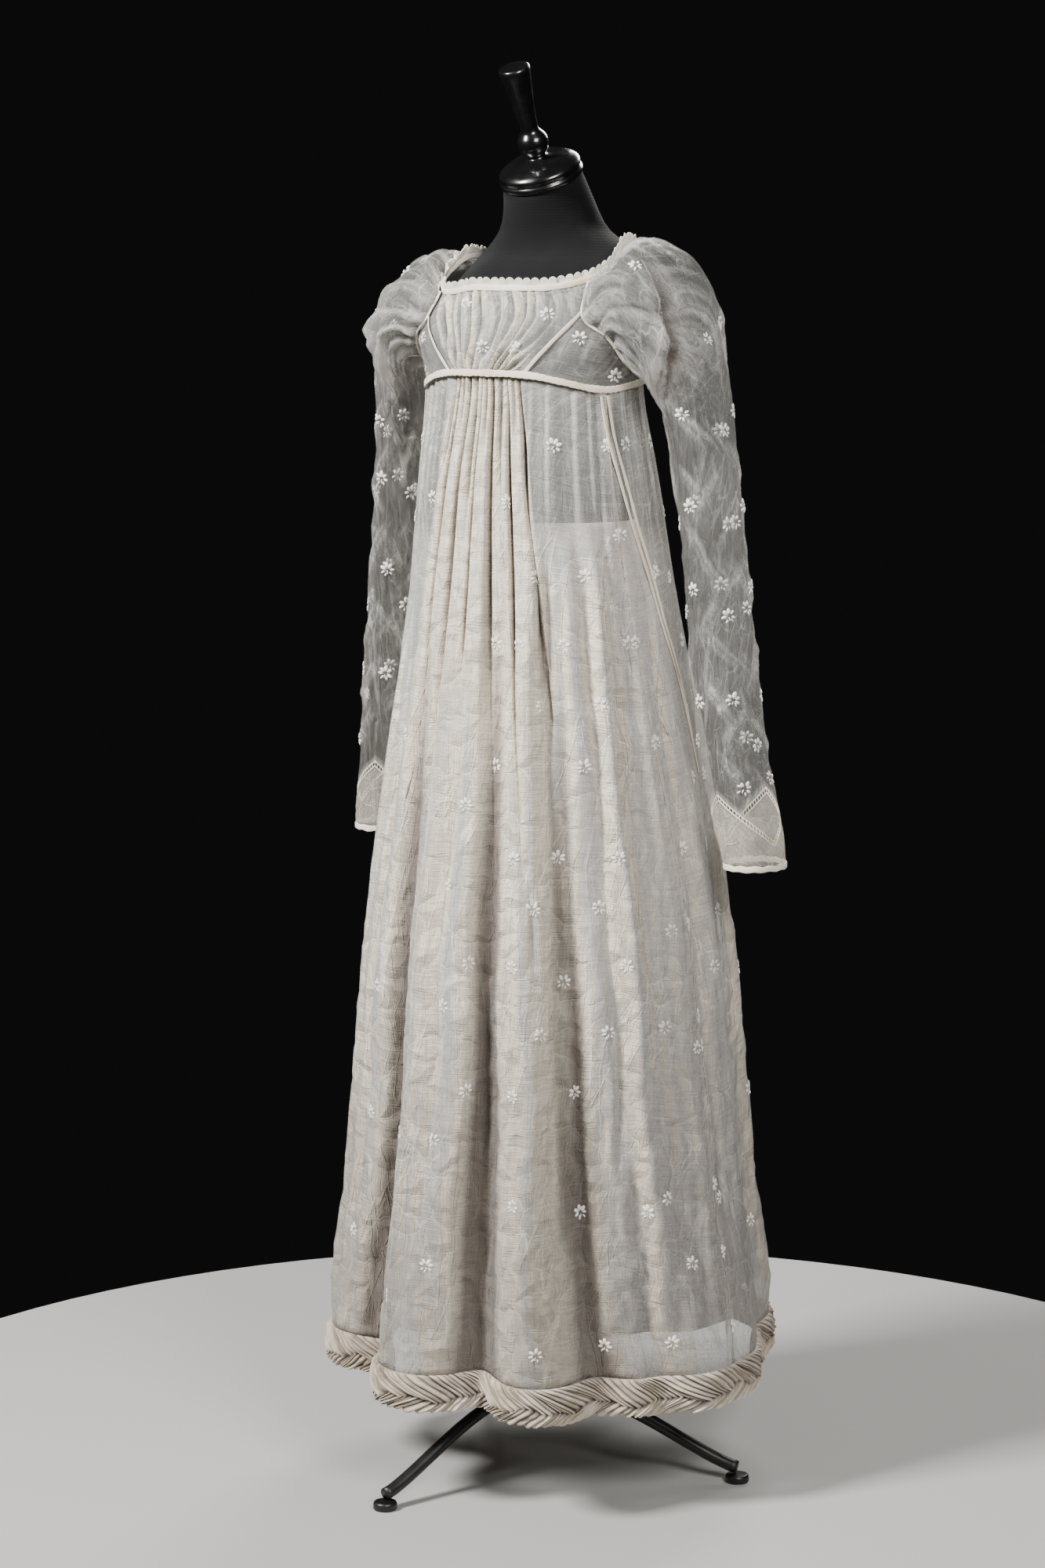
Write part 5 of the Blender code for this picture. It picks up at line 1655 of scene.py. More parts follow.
def build_sleeve(side, word):
    """A sleeve: more cover on edges, crests and the head's fold, and painted shade below it and in
    valleys.
    """
    turn = np.linspace(0, 360, SLEEVE_COLUMNS, endpoint=False)
    base = sleeve_base(turn, SLEEVE_ROWS)
    points = sleeve_surface(turn[None, :], base, side)
    centre = points.mean(axis=1, keepdims=True)
    down = lengths_along(points, 0)
    puff = puff_fold(turn[None, :], points[..., 2])
    out = ((points - base) * normals_of(points, centre, True)).sum(axis=-1) - puff
    # Painted shade falls in the trough beside the head's fold and in the wrinkles' valleys. It also falls
    # on the lower part of the puff that hangs over the fold, which gets more cover for its doubled cloth.
    shaded = np.clip(-puff / FULL_PUFF, 0, 1)
    bag = np.clip(puff / FULL_PUFF, 0, 1) * ease((1.350 - points[..., 2]) / 0.05)
    valleys = np.clip(-out / FULL_WRINKLE, 0, 1)
    crests = np.clip(out / FULL_WRINKLE, 0, 1)
    edges = np.clip(edge_on(points, base, centre, True) - 0.15, 0, 1) ** 1.2
    hollow = np.clip(0.9 * shaded + 0.40 * bag + 0.35 * valleys, 0, 0.9)
    cover = 0.42 * looks().sheerness + 0.04 * bell(down, 0.035) + 0.50 * edges + 0.04 * crests
    cover = np.clip(cover + 5 * np.clip(puff, 0, 1) + 0.32 * shaded + 0.30 * bag, 0, 0.9)
    cover = cover + 0.35 * bell(down[-1:] - down, 0.004)
    sewn_to = ["bodice_side_front_" + word + "_cloth", "bodice_side_back_" + word + "_cloth"]
    look = (finish("sleeve"), "gathered", sewn_to, cover, hollow)
    PANELS["sleeves"][word] = sleeve_sheet("sleeve_" + word, points, side, *look)


def build_cuff(side, word):
    """Level rings from the insertion's zigzag to the band, softly crumpled between the two."""
    turn = np.linspace(0, 360, SLEEVE_COLUMNS, endpoint=False)
    down = np.linspace(0, 1, CUFF_ROWS)[:, None]
    top = zigzag(turn) - INSERTION_WIDTH / 2
    height = top + (CUFF_HEM + CUFF_BAND_HEIGHT - top) * down
    points = np.array([sleeve_ring(row, turn) for row in height])
    points[..., 2] = height
    normal = normals_of(points, points.mean(axis=1, keepdims=True), closed=True)
    edge = ease(down / 0.2) * ease((1 - down) / 0.3)
    points = points + normal * (crumple(points, "cuff", side) * edge)[..., None]
    hangs_from = ["insertion_" + word + "_openwork"]
    cover = 1.9 * looks().sheerness
    sleeve_sheet("cuff_" + word, points, side, finish("cuff"), "hung", hangs_from, cover)


def build_cuff_band(side, word):
    turn = np.linspace(0, 360, 150, endpoint=False)
    height = CUFF_HEM + CUFF_BAND_HEIGHT / 2 + 0 * turn
    path = sleeve_ring(height, turn)
    path[:, 2] = height + 0.0005 * np.sin(np.radians(turn) * 13)
    path = path * [side, 1, 1]
    out = unit(path - path.mean(axis=0))
    sewn_tape("cuff_band_" + word, path, out, TAPES["cuff band"], closed=True)


def tube_points(path, radius, sides, closed):
    """Circles round a path: the grid of a tube, its frame taken from the upright."""
    along = unit(gradient(path, 0, closed))
    helper = np.where(np.abs(along[:, 2:]) > 0.9, [[1.0, 0, 0]], [[0.0, 0, 1.0]])
    one = unit(np.cross(along, helper))
    two = np.cross(along, one)
    turn = np.linspace(0, 2 * np.pi, sides, endpoint=False)
    circle = np.cos(turn)[None, :, None] * one[:, None] + np.sin(turn)[None, :, None] * two[:, None]
    return path[:, None] + circle * radius


LADDER_HOLES = 72
LADDER_BAR = 0.0011
OPENWORK_CORD = 0.0016


def build_openwork(side, word):
    """Two cords on the zigzag, and a short bar between them after each hole, all round in section."""
    turn = np.linspace(0, 360, LADDER_HOLES * 3, endpoint=False)
    tubes = []
    edges = []
    for edge in (0.5, -0.5):
        height = zigzag(turn) + edge * (INSERTION_WIDTH - 0.002)
        path = sleeve_ring(height, turn)
        path[:, 2] = height
        path = path * [side, 1, 1]
        edges.append(path[::3])
        tube = tube_points(path, OPENWORK_CORD / 2, 6, True)
        tubes.append(np.concatenate([tube, tube[:1]]))
    share = np.linspace(0, 1, 3)[:, None]
    for top, low in zip(*edges):
        tubes.append(capped(tube_points(top + (low - top) * share, LADDER_BAR / 2, 5, False)))
    thing = joined_object("insertion_" + word + "_openwork", tubes, finish("tape"))
    stand_in(thing, "insertion_" + word)


def build_sleeves():
    """Both sleeves, the openwork round each wrist, the cuffs below it and their stitched bands."""
    for side, word in SIDES:
        build_sleeve(side, word)
        build_cuff(side, word)
        build_cuff_band(side, word)
        build_openwork(side, word)


# ---- hem trim ----------------------------------------------------------------------------------
STRANDS = 264
STRAND_COLUMNS = 6
STRAND_SLANT = 1.6
STRAND_WAVER = 0.0030
STRANDS_A_PLAIT = 4
STRAND_RELIEF = 0.0038
PLAIT_RELIEF = 0.0024
LUMP_RELIEF = 0.0022
PARTING = -0.25
PARTING_DEPTH = 0.0020
PARTING_WIDTH = 0.10
PADDING = 0.0048
SCALLOP = 0.0045


def hem_line(angle, height):
    """The skirt's smooth line at this height, with its level outward direction."""
    here = skirt_point(angle, height + 0 * angle)
    next_one = skirt_point(angle + 1e-3, height + 0 * angle)
    along = unit((next_one - here) * [1, 1, 0])
    return here, np.stack([along[..., 1], -along[..., 0], 0 * along[..., 0]], axis=-1)


def build_hem_trim():
    """A padded band of slanting strands in two rows that lean opposite ways, like a herringbone.

    The section is a rounded oval. The grid's columns follow the strands: each point is moved round
    the hem by its distance from the parting times the slant. Each strand is a rounded ridge, a
    power of a sine of its number, and some stand prouder than others.
    """
    half = TRIM_HEIGHT / 2
    level = HEM_HEIGHT + half
    fine = round_body(2400)
    line, _ = hem_line(fine, level)
    steps = np.linalg.norm(np.diff(np.concatenate([line, line[:1]]), axis=0), axis=1)
    reach = np.concatenate([[0], np.cumsum(steps)])
    around = np.arange(STRAND_COLUMNS * STRANDS) / STRAND_COLUMNS
    lap = 2 * np.pi * around / STRANDS
    turn = np.linspace(0, 2 * np.pi, 36, endpoint=False)
    turn = (turn - 0.60 * np.sin(turn))[:, None]
    up = np.sign(np.sin(turn)) * np.abs(np.sin(turn)) ** 0.85
    across = np.sign(np.cos(turn)) * np.abs(np.cos(turn)) ** 0.75

    def unevenness(scale, seed):
        spots = np.stack(np.broadcast_arrays(around[None, :], up, across), axis=-1)
        return lattice_noise(spots * scale, 1.0, seed)

    parting = PARTING + 0.17 * np.sin(19 * lap) + 0.10 * np.sin(43 * lap + 1)
    slant = STRAND_SLANT * (1 + 0.30 * np.sin(13 * lap + 2))
    waver = STRAND_WAVER * unevenness([0.35, 1.6, 1.2], 23)
    moved = reach[-1] * around / STRANDS - slant * half * np.abs(up - parting) + waver
    angle = np.interp(moved % reach[-1], reach, np.append(fine, 180.0))
    base, out = hem_line(angle, level)
    strand = np.floor(around)
    bold = 1 + 0.28 * np.sin(2.4 * strand) + 0.22 * np.sin(5.1 * strand + 1)
    ridge = np.abs(np.sin(np.pi * around)) ** 0.6 * bold + 0 * up
    plait = np.abs(np.sin(np.pi * around / STRANDS_A_PLAIT)) ** 0.4
    crease = bell(up - parting, PARTING_WIDTH)
    raised = STRAND_RELIEF * (ridge - 0.6) + PLAIT_RELIEF * (plait - 0.8) - PARTING_DEPTH * crease
    raised = raised + LUMP_RELIEF * unevenness([0.7, 3, 3], 5)
    outer = np.clip(across + 0.35, 0, 1)
    low_edge = np.clip(-up, 0, 1) ** 2 * np.clip(1.1 - ridge, 0, 1) * SCALLOP
    depth = across * PADDING + (raised + 0.0008) * outer
    points = base + out * depth[..., None]
    points[..., 2] = level + up * (half - 0.0004) + low_edge
    # Painted shade in the crevices between the strands and the plaits, and along the parting.
    hollow = np.clip(1.10 - 1.25 * ridge + 0.5 * (1 - plait) + 0.6 * crease, 0, 0.95) * outer
    round_middle = {"middle": base * [1, 1, 0] + np.array([0, 0, level]), "closed": True, "ring": True}
    thing = grid_object("hem_trim_plaits", points, finish("braid"), **round_middle, hollow=hollow)
    stand_in(thing, "hem_trim")


# ---- sprigs ------------------------------------------------------------------------------------
SPRIG_PETALS = table(
    "turn distance length width",
    (90, 0.0056, 0.0086, 0.0052),
    (36, 0.0056, 0.0080, 0.0048),
    (144, 0.0056, 0.0080, 0.0048),
    (-14, 0.0062, 0.0068, 0.0038),
    (194, 0.0062, 0.0068, 0.0038),
    (-58, 0.0064, 0.0056, 0.0028),
    (-122, 0.0064, 0.0056, 0.0028),
    (-90, 0.0036, 0.0056, 0.0016),
)
SPRIG_HEIGHT = 0.0012
PETAL_ROWS = 3
PETAL_COLUMNS = 8


def petal_dome():
    """A unit dome: rings that shrink towards the top as a cosine and rise as a sine."""
    ring = np.linspace(0, np.pi / 2 * 0.96, PETAL_ROWS)[:, None]
    turn = np.linspace(0, 2 * np.pi, PETAL_COLUMNS, endpoint=False)[None, :]
    x = np.cos(ring) * np.cos(turn)
    y = np.cos(ring) * np.sin(turn)
    z = np.sin(ring) + 0 * turn
    return np.stack([x, y, z], axis=-1)


def sprigs_on(name, spots, surface):
    """Satin-stitch petals: every petal's dome is laid on the tangent plane at its own middle.

    The spots are pairs of a place and a spin in degrees. The surface gives the point and three unit
    directions at an offset from a place.
    """
    size = looks().sprig_size
    dome = petal_dome()
    ring = np.arange(PETAL_COLUMNS)
    petals = []
    caps = []
    uneven = np.random.default_rng(len(spots))
    for place, spin in spots:
        for petal in SPRIG_PETALS:
            aim = math.radians(petal.turn + spin + uneven.uniform(-9, 9))
            offset = np.array([math.cos(aim), math.sin(aim)]) * petal.distance * size
            point, along, up, normal = surface(place, offset)
            grown = size * uneven.uniform(0.78, 1.12)
            shape = dome * [petal.length * grown / 2, petal.width * grown / 2, SPRIG_HEIGHT * size]
            x = shape[..., :1] * math.cos(aim) - shape[..., 1:2] * math.sin(aim)
            y = shape[..., :1] * math.sin(aim) + shape[..., 1:2] * math.cos(aim)
            start = len(petals) * PETAL_ROWS * PETAL_COLUMNS
            petals.append(point + x * along + y * up + shape[..., 2:] * normal)
            caps.append((ring + start + (PETAL_ROWS - 1) * PETAL_COLUMNS).tolist())
            caps.append((ring[::-1] + start).tolist())
    joined_object(name + "_sprigs", petals, finish("floss"), caps)


def grid_surface(points, middle, closed=False):
    """A reader of a grid: the point nearest to a target, with the two directions and the normal there.

    From the nearest grid point it steps the part of a cell that is left, on straight lines between
    points. The second direction always points upwards.
    """
    along = gradient(points, 1, closed)
    down = gradient(points, 0, False)
    normal = normals_of(points, middle, closed)
    flat = points.reshape(-1, 3)
    rows, columns = points.shape[:2]

    def at(target):
        i, j = divmod(int(((flat - target) ** 2).sum(axis=1).argmin()), columns)
        off = target - points[i, j]
        step_j = j + float(off @ along[i, j]) / float(along[i, j] @ along[i, j])
        step_i = i + float(off @ down[i, j]) / float(down[i, j] @ down[i, j])
        step_i = min(max(step_i, 0.0), rows - 1.001)
        step_j = step_j % columns if closed else min(max(step_j, 0.0), columns - 1.001)
        low_i, low_j = int(step_i), int(step_j)
        ti, tj = step_i - low_i, step_j - low_j
        next_j = (low_j + 1) % columns
        mix = []
        for grid in (points, normal, along):
            top = grid[low_i, low_j] * (1 - tj) + grid[low_i, next_j] * tj
            low = grid[low_i + 1, low_j] * (1 - tj) + grid[low_i + 1, next_j] * tj
            mix.append(top * (1 - ti) + low * ti)
        out = unit(mix[1])
        side = unit(mix[2] - out * float(mix[2] @ out))
        up = np.cross(out, side)
        return (mix[0], side, up, out) if up[2] >= 0 else (mix[0], -side, -up, out)

    return at


def sprig_reader(points, middle, closed=False):
    """Turns a place into one on the grid, then steps by an offset in the tangent plane there."""
    at = grid_surface(points, middle, closed)

    def surface(place, offset):
        point, side, up, _ = at(place)
        spot, side, up, out = at(point + side * offset[0] + up * offset[1])
        return spot + out * SHELL / 2, side, up, out

    return surface


SKIRT_SPRIGS = table(
    "height angles",
    (1.226, (-52, -10)),
    (1.162, (-120, -74)),
    (1.124, (-19,)),
    (1.079, (-60, -39, 3)),
    (1.002, (-78, -66, -48, -19)),
    (0.935, (-57, -34)),
    (0.888, (-125, -10)),
    (0.865, (-77, -42)),
    (0.840, (11,)),
    (0.820, (-86,)),
    (0.763, (-67, -52, -30, 0)),
    (0.728, (-92,)),
    (0.706, (-60, -38)),
    (0.674, (-12,)),
    (0.641, (-84, -66, -29)),
    (0.622, (-50, 8)),
    (0.591, (-130, -90)),
    (0.565, (-58, -36, -17)),
    (0.534, (-4,)),
    (0.494, (-85, -66, -47)),
    (0.436, (-134, -105, -92)),
    (0.370, (-65, -20)),
    (0.355, (-45, -24, 2)),
    (0.291, (-138, -92, -13)),
    (0.248, (-104,)),
    (0.203, (-60, -38, -20)),
)
SLEEVE_SPRIGS = table(
    "height angles",
    (1.423, (137,)),
    (1.361, (143, 20)),
    (1.346, (97,)),
    (1.263, (165, 55)),
    (1.240, (93, 350)),
    (1.157, (178, 60, 290)),
    (1.136, (108, 230, 10)),
    (1.064, (190, 60, 330)),
    (1.035, (126, 240, 20)),
    (0.938, (133, 200, 50, 300)),
    (0.886, (90, 250, 350)),
    (0.841, (134, 30)),
)
BODICE_SPRIGS = {
    "bodice_front": ((-90, 1.335), (-74, 1.335), (-106, 1.382), (-62, 1.372)),
    "bodice_side_front_left": ((-44, 1.346), (-18, 1.303)),
    "bodice_side_front_right": ((224, 1.346), (198, 1.300)),
    "bodice_back": ((80, 1.345), (104, 1.350), (66, 1.392), (92, 1.396), (120, 1.390)),
    "bodice_side_back_left": ((24, 1.312), (50, 1.348)),
    "bodice_side_back_right": ((156, 1.312), (130, 1.345)),
}
HALF_DROP = 0.078
SPRIG_SPACE = 0.088


def hidden_spots():
    """A half-drop lattice over the back of the skirt: every other row moved by half a space."""
    spots = []
    rows = int((1.20 - 0.20) / HALF_DROP) + 1
    for row in range(rows):
        height = 1.22 - row * HALF_DROP
        radius = float(read(SKIRT_LEVELS, "height", "half_width", height)) * 1.12
        step = math.degrees(SPRIG_SPACE / radius)
        angle = 20 + (row % 2) * step / 2
        while angle < 214:
            spots.append((angle + 2 * math.sin(row * 5 + angle), height + 0.006 * math.sin(angle)))
            angle += step
    return spots


def sleeve_spot(side, turn, height):
    """The sleeve's point at this turn and height, a little elsewhere on the right sleeve."""
    if side < 0:
        turn, height = turn + 14 * math.sin(height * 30), height - 0.02 * math.cos(height * 25)
    line = sleeve_base(np.array([float(turn % 360)]), 150)[:, 0]
    return line[int(np.abs(line[:, 2] - height).argmin())] * [side, 1, 1]


def build_sprigs():
    """Embroidered sprigs on every panel of the skirt and bodice and on both sleeves."""
    spins = iter(np.random.default_rng(3).uniform(-22, 22, 2000))
    skirt_spots = [(angle, row.height) for row in SKIRT_SPRIGS for angle in row.angles]
    for name, (points, low, high) in PANELS["skirt"].items():
        spots = []
        for angle, height in skirt_spots + hidden_spots():
            turned = (angle - low + 360) % 360 + low
            if low + 2 < turned < high - 2:
                spots.append((skirt_point(np.array(turned), np.array(height)), next(spins)))
        sprigs_on(name, spots, sprig_reader(points, points * [0, 0, 1]))
    for name, spread in BODICE_SPRIGS.items():
        points = PANELS["bodice"][name]
        spots = [(bodice_point(np.array(a), np.array(h)), next(spins)) for a, h in spread]
        sprigs_on(name, spots, sprig_reader(points, points * [0, 0, 1]))
    for side, word in SIDES:
        points = PANELS["sleeves"][word]
        spots = []
        for row in SLEEVE_SPRIGS:
            spots += [(sleeve_spot(side, turn, row.height), next(spins)) for turn in row.angles]
        reader = sprig_reader(points, points.mean(axis=1, keepdims=True), closed=True)
        sprigs_on("sleeve_" + word, spots, reader)


# ---- dress form and stand ----------------------------------------------------------------------
NECK_RADIUS = 0.055
NECK_DRAGS = table(
    "angle height length lean width depth",
    (330, 1.462, 0.060, 46, 0.0050, 0.0016),
    (345, 1.470, 0.055, 40, 0.0045, -0.0012),
    (318, 1.472, 0.050, 52, 0.0045, 0.0014),
    (300, 1.456, 0.050, 60, 0.0040, -0.0012),
    (250, 1.462, 0.055, -48, 0.0045, 0.0013),
    (215, 1.468, 0.050, -44, 0.0045, 0.0014),
    (20, 1.466, 0.050, 42, 0.0045, 0.0012),
    (120, 1.468, 0.050, -30, 0.0050, 0.0012),
)


def rings_at(heights, turn):
    """The form's ring at each height: an ellipse that leans forward towards the neck's top."""
    keys = column(FORM_LEVELS, "height")
    values = {}
    for name in ("half_width", "half_depth", "centre_y", "lean"):
        rounded = read(FORM_LEVELS, "height", name, heights)
        straight = np.interp(heights, keys, column(FORM_LEVELS, name))
        values[name] = (0.75 * rounded + 0.25 * straight)[:, None]
    lean = values["lean"] * NECK_LEAN
    across = values["half_depth"] * np.sin(turn)
    x = values["half_width"] * np.cos(turn)
    y = values["centre_y"] + across * np.cos(lean)
    z = heights[:, None] + across * np.sin(lean)
    return np.stack([x, y, z], axis=-1)


def build_form():
    """Jersey over a padded torso, with slanting drags in it round the neck, closed at both ends."""
    turn = np.radians(np.linspace(0, 360, 104, endpoint=False))[None, :]
    heights = np.concatenate([np.linspace(0.81, 0.83, 6), np.linspace(0.835, 1.522, 104)])
    points = rings_at(heights, turn)
    neck = ease((heights - 1.44) / 0.02) * ease((1.524 - heights) / 0.012)
    out = creases(NECK_DRAGS, np.degrees(turn), heights[:, None], NECK_RADIUS, bow=0)
    normal = normals_of(points, points.mean(axis=1, keepdims=True), closed=True)
    points = capped(points + normal * (out * neck[:, None])[..., None])
    centre = np.array([0, 0, 1.15])
    thing = grid_object("form_torso_jersey", points, finish("jersey"), middle=centre, closed=True)
    stand_in(thing, "form_torso")


def lathe(profile, rows, columns):
    """A smooth curve through the profile's rows, turned round Z: x and y are the radius by angle."""
    radius = column(profile, "radius")
    height = column(profile, "height")
    steps = np.hypot(np.diff(radius), np.diff(height))
    place = np.concatenate([[0], np.cumsum(steps)])
    at = np.unique(np.concatenate([np.linspace(0, place[-1], rows), place]))
    curve = np.stack([np.interp(at, place, radius), np.interp(at, place, height)], axis=-1)
    for _ in range(2):
        curve[1:-1] = 0.25 * curve[:-2] + 0.5 * curve[1:-1] + 0.25 * curve[2:]
    r, z = curve.T[..., None]
    turn = np.linspace(0, 2 * np.pi, columns, endpoint=False)[None, :]
    return np.stack([r * np.cos(turn), r * np.sin(turn), z + 0 * turn], axis=-1)


def turned_piece(node, look, points):
    """A lathed piece in the place of its node."""
    middle = points.mean(axis=1, keepdims=True)
    thing = grid_object(f"{node}_{look}", points, finish(look), middle=middle, closed=True)
    stand_in(thing, node)


def build_cap():
    """The turned neck cap, its lathe profile leaning forward with the neck."""
    points = lathe(CAP_PROFILE, 96, 60)
    lean_cos = math.cos(NECK_LEAN)
    lean_sin = math.sin(NECK_LEAN)
    y = points[..., 1] * lean_cos - points[..., 2] * lean_sin
    z = points[..., 1] * lean_sin + points[..., 2] * lean_cos
    top = FORM_LEVELS[-1]
    points = np.stack([points[..., 0], y + top.centre_y, z + top.height + 0.0003], axis=-1)
    turned_piece("neck_cap", "lacquer", points)


LEG_START = 0.0278
POLE_PROFILE = table(
    "radius height",
    (0.0, 0.1303),
    (POLE_RADIUS, 0.1303),
    (POLE_RADIUS, FORM_LEVELS[0].height - 0.0003),
    (0.0, FORM_LEVELS[0].height - 0.0003),
)
FOOT_PROFILE = table(
    "radius height",
    (0.0, 0.0),
    (0.0130, 0.0),
    (0.0140, 0.0012),
    (0.0140, 0.0070),
    (0.0125, 0.0094),
    (0.0, 0.0097),
)


def build_stand():
    """A pole and a turned hub, and three bowed legs of even thickness on round feet."""
    centre = np.array([0, POLE_Y, 0])
    turned_piece("stand_hub", "iron", lathe(HUB_PROFILE, 60, 48) + centre)
    turned_piece("stand_pole", "iron", lathe(POLE_PROFILE, 90, 36) + centre)
    share = np.linspace(0, 1, 40)[:, None]
    low = FOOT_HEIGHT + LEG_RADIUS
    rise = low + (LEG_RISE - low) * np.cos(np.pi / 2 * share) ** LEG_BOW
    for number, degrees in enumerate(LEG_ANGLES, start=1):
        turn = math.radians(degrees)
        away = np.array([math.cos(turn), math.sin(turn), 0])
        path = centre + away * (LEG_START + (LEG_REACH - LEG_START) * share) + [0, 0, 1] * rise
        leg = capped(tube_points(path, LEG_RADIUS, 16, False))
        thing = joined_object(f"stand_leg_{number}_iron", [leg], finish("iron"))
        stand_in(thing, f"stand_leg_{number}")
        foot = lathe(FOOT_PROFILE, 30, 32) + centre + away * LEG_REACH
        turned_piece(f"stand_foot_{number}", "iron", foot)


# ---- stage -------------------------------------------------------------------------------------
STUDIO_LIGHTS = table(
    "name x y z width height watts aim",
    ("key_light", -1.3, -2.8, 3.2, 0.8, 1.0, 425.0, 2.20),
    ("fill_light", 3.2, -2.0, 3.0, 1.4, 1.6, 200.0, 2.20),
    ("back_light", -0.8, 3.2, 2.8, 1.6, 1.2, 120.0, 1.2),
)
FLOOR_GAP = 0.0005
CAMERA_TURN = 34.5
CAMERA_DISTANCE = 4.6
CAMERA_ASIDE = 0.0216
CAMERA_HEIGHT = 1.51
CAMERA_DIP = 8.5
CAMERA_LENS = 91.26


def build_stage():
    """A round pale floor, three soft area lights, a dark room and the camera."""
    settings = looks()
    turn = np.linspace(0, 2 * np.pi, 96, endpoint=False)
    rim = np.stack([np.cos(turn), np.sin(turn), 0 * turn - FLOOR_GAP], axis=-1)
    rim[:, :2] *= settings.floor_radius
    mesh = bpy.data.meshes.new("floor")
    mesh.from_pydata(rim.tolist(), [], [range(len(rim))])
    inputs = {"Roughness": 0.9, "Base Color": linear("AAA9A6")}
    mesh.materials.append(new_material("matt_white_paint", inputs)[0])
    floor = bpy.data.objects.new("floor", mesh)
    bpy.context.scene.collection.objects.link(floor)
    for light in STUDIO_LIGHTS:
        data = bpy.data.lights.new(light.name, "AREA")
        data.shape = "RECTANGLE"
        data.size = light.width
        data.size_y = light.height
        data.energy = light.watts * settings.light_level
        data.color = (1.0, 0.985, 0.970)
        lamp = bpy.data.objects.new(light.name, data)
        bpy.context.scene.collection.objects.link(lamp)
        lamp.location = (light.x, light.y, light.z)
        aim = Vector((0, 0, light.aim)) - lamp.location
        lamp.rotation_euler = aim.to_track_quat("-Z", "Y").to_euler()
    world = bpy.data.worlds.new("dark_room")
    world.use_nodes = True
    background = world.node_tree.nodes["Background"]
    background.inputs["Color"].default_value = linear("101010")
    background.inputs["Strength"].default_value = 1.0
    bpy.context.scene.world = world
    data = bpy.data.cameras.new("camera")
    data.lens = CAMERA_LENS
    data.sensor_width = 36.0
    camera = bpy.data.objects.new("camera", data)
    bpy.context.scene.collection.objects.link(camera)
    turn = math.radians(CAMERA_TURN)
    x = CAMERA_DISTANCE * math.sin(turn) - CAMERA_ASIDE * math.cos(turn)
    y = -CAMERA_DISTANCE * math.cos(turn) - CAMERA_ASIDE * math.sin(turn) - AXIS_FORWARD
    camera.location = (x, y, CAMERA_HEIGHT)
    camera.rotation_euler = (math.radians(90 - CAMERA_DIP), 0, turn)
    bpy.context.scene.camera = camera


# ---- add-on ------------------------------------------------------------------------------------
class GownLooks(bpy.types.PropertyGroup):
    """Sizes and colours that a user would change."""

    muslin_light: bpy.props.FloatVectorProperty(
        name="Muslin", description="Colour of clean muslin", subtype="COLOR", size=4,
        default=linear("F0EDE6"), min=0.0, max=1.0,
    )
    muslin_cream: bpy.props.FloatVectorProperty(
        name="Gathered muslin", description="Colour of the muslin where its folds lie close",
        subtype="COLOR", size=4, default=linear("F2E8D5"), min=0.0, max=1.0,
    )
    sheerness: bpy.props.FloatProperty(
        name="Cover", description="Share of the view that one wall of plain muslin hides",
        default=0.14, min=0.05, max=0.9, subtype="FACTOR",
    )
    sprig_size: bpy.props.FloatProperty(
        name="Sprig size", description="Size of the embroidered sprigs against the usual one",
        default=1.0, min=0.5, max=1.5,
    )
    floor_radius: bpy.props.FloatProperty(
        name="Floor radius", description="Radius of the round floor", default=0.95,
        min=0.5, max=4.0, unit="LENGTH",
    )
    light_level: bpy.props.FloatProperty(
        name="Light level", description="Strength of every studio light against the usual one",
        default=1.0, min=0.1, max=4.0,
    )


def looks():
    return bpy.context.scene.gown_looks


class GOWN_OT_form(bpy.types.Operator):
    """Build the jersey torso of the dress form"""

    bl_idname = "gown.form"
    bl_label = "Dress form"

    def execute(self, context):
        build_form()
        return {"FINISHED"}


class GOWN_OT_cap(bpy.types.Operator):
    """Build the lacquered neck cap with its turned finial"""

    bl_idname = "gown.cap"
    bl_label = "Neck cap"

    def execute(self, context):
        build_cap()
        return {"FINISHED"}


class GOWN_OT_stand(bpy.types.Operator):
    """Build the pole, the hub, the three bowed legs and their feet"""

    bl_idname = "gown.stand"
    bl_label = "Stand"

    def execute(self, context):
        build_stand()
        return {"FINISHED"}


class GOWN_OT_underskirt(bpy.types.Operator):
    """Build the white cotton layer under the skirt"""

    bl_idname = "gown.underskirt"
    bl_label = "Underskirt"

    def execute(self, context):
        build_underskirt()
        return {"FINISHED"}


class GOWN_OT_skirt(bpy.types.Operator):
    """Build the four skirt panels with their pleats, folds and creases"""

    bl_idname = "gown.skirt"
    bl_label = "Skirt"

    def execute(self, context):
        build_skirt()
        return {"FINISHED"}


class GOWN_OT_bodice(bpy.types.Operator):
    """Build the gathered bodice front, the back and the four side pieces"""

    bl_idname = "gown.bodice"
    bl_label = "Bodice"

    def execute(self, context):
        build_bodice()
        return {"FINISHED"}


class GOWN_OT_sleeves(bpy.types.Operator):
    """Build both sleeves, their openwork, cuffs and cuff bands"""

    bl_idname = "gown.sleeves"
    bl_label = "Sleeves"

    def execute(self, context):
        build_sleeves()
        return {"FINISHED"}


class GOWN_OT_tapes(bpy.types.Operator):
    """Build the waist tape, the seam tapes and the piping round the armholes"""

    bl_idname = "gown.tapes"
    bl_label = "Tapes and piping"

    def execute(self, context):
        build_tapes()
        build_piping()
        return {"FINISHED"}


class GOWN_OT_neck_trims(bpy.types.Operator):
    """Build the band round the neck and its scalloped lace"""

    bl_idname = "gown.neck_trims"
    bl_label = "Neck band and lace"

    def execute(self, context):
        build_neck_trims()
        return {"FINISHED"}


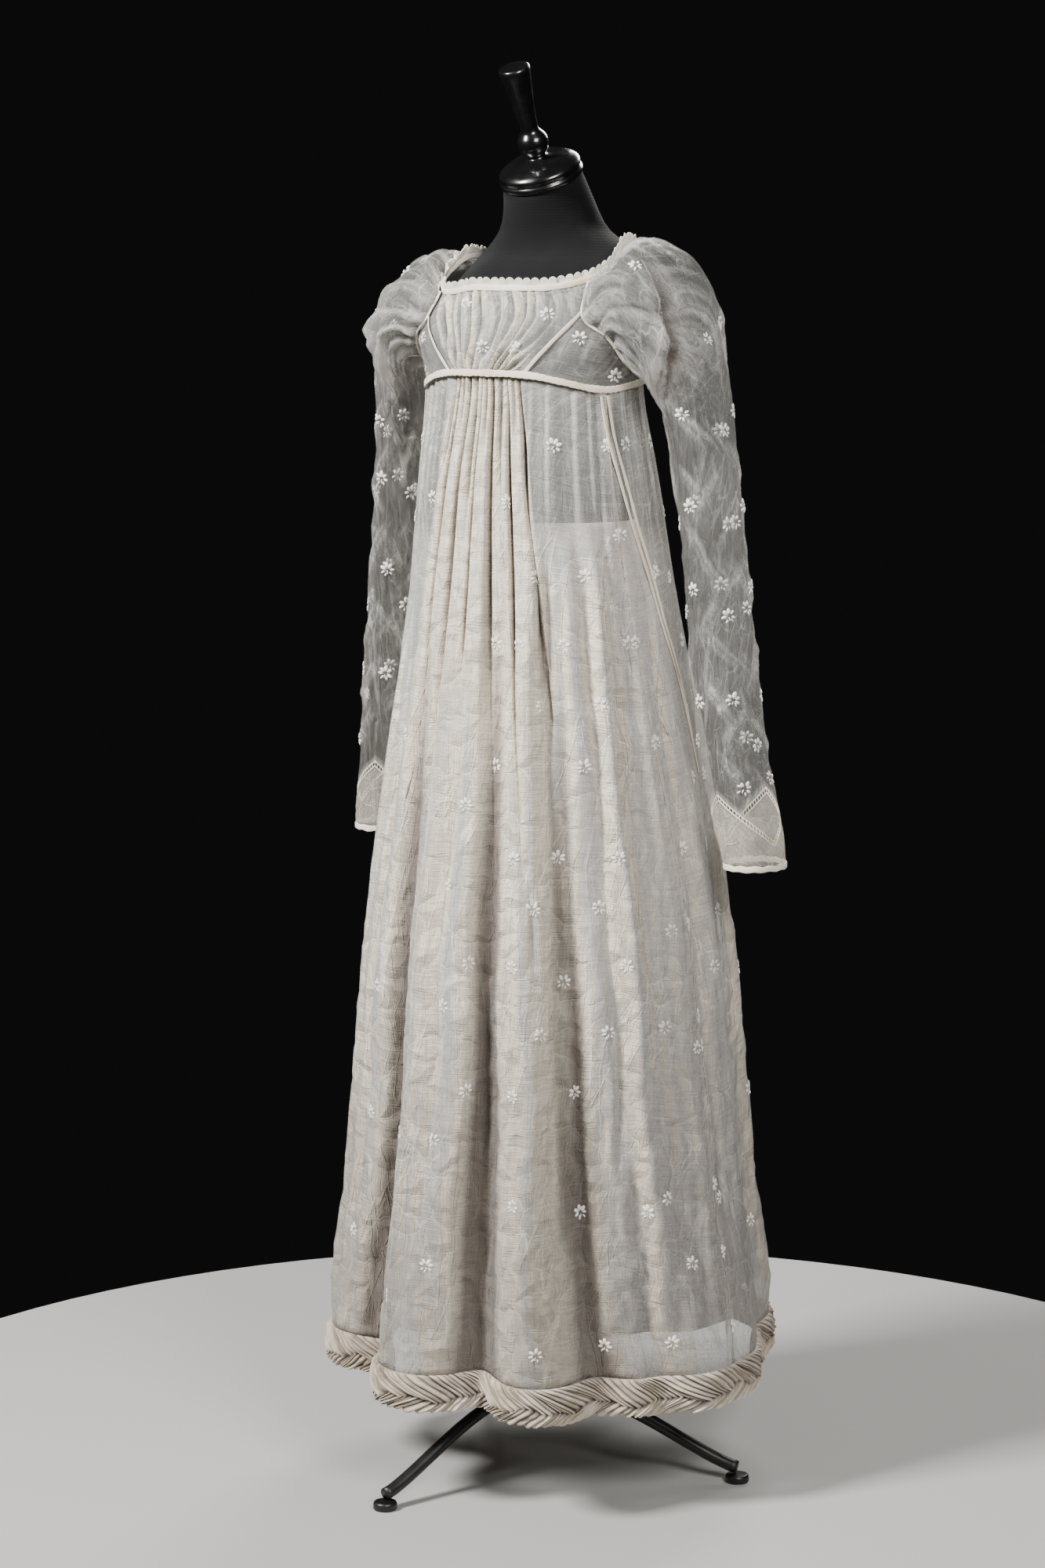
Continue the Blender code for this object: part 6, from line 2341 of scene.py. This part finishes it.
class GOWN_OT_hem_trim(bpy.types.Operator):
    """Build the plaited trim round the hem"""

    bl_idname = "gown.hem_trim"
    bl_label = "Hem trim"

    def execute(self, context):
        build_hem_trim()
        return {"FINISHED"}


class GOWN_OT_sprigs(bpy.types.Operator):
    """Embroider the sprigs on the skirt, bodice and sleeves"""

    bl_idname = "gown.sprigs"
    bl_label = "Sprigs"

    def execute(self, context):
        if not PANELS["skirt"]:
            raise RuntimeError("Build the skirt, bodice and sleeves before the sprigs")
        build_sprigs()
        return {"FINISHED"}


class GOWN_OT_stage(bpy.types.Operator):
    """Set up the floor, the studio lights and the camera"""

    bl_idname = "gown.stage"
    bl_label = "Stage"

    def execute(self, context):
        build_stage()
        return {"FINISHED"}


class GOWN_PT_panel(bpy.types.Panel):
    """The gown's settings and its operators"""

    bl_label = "Regency Gown"
    bl_idname = "GOWN_PT_panel"
    bl_space_type = "VIEW_3D"
    bl_region_type = "UI"
    bl_category = "Gown"

    def draw(self, context):
        column_of = self.layout.column(align=True)
        for name in GownLooks.__annotations__:
            column_of.prop(context.scene.gown_looks, name)
        column_of.separator()
        for operator in OPERATORS:
            column_of.operator(operator.bl_idname)


OPERATORS = (
    GOWN_OT_form,
    GOWN_OT_cap,
    GOWN_OT_stand,
    GOWN_OT_underskirt,
    GOWN_OT_skirt,
    GOWN_OT_bodice,
    GOWN_OT_sleeves,
    GOWN_OT_tapes,
    GOWN_OT_neck_trims,
    GOWN_OT_hem_trim,
    GOWN_OT_sprigs,
    GOWN_OT_stage,
)
CLASSES = (GownLooks, *OPERATORS, GOWN_PT_panel)


def register():
    for each in CLASSES:
        bpy.utils.register_class(each)
    bpy.types.Scene.gown_looks = bpy.props.PointerProperty(type=GownLooks)


def unregister():
    del bpy.types.Scene.gown_looks
    for each in reversed(CLASSES):
        bpy.utils.unregister_class(each)


def main():
    register()
    for operator in OPERATORS:
        getattr(bpy.ops.gown, operator.bl_idname.split(".")[1])()


if __name__ == "__main__":
    main()
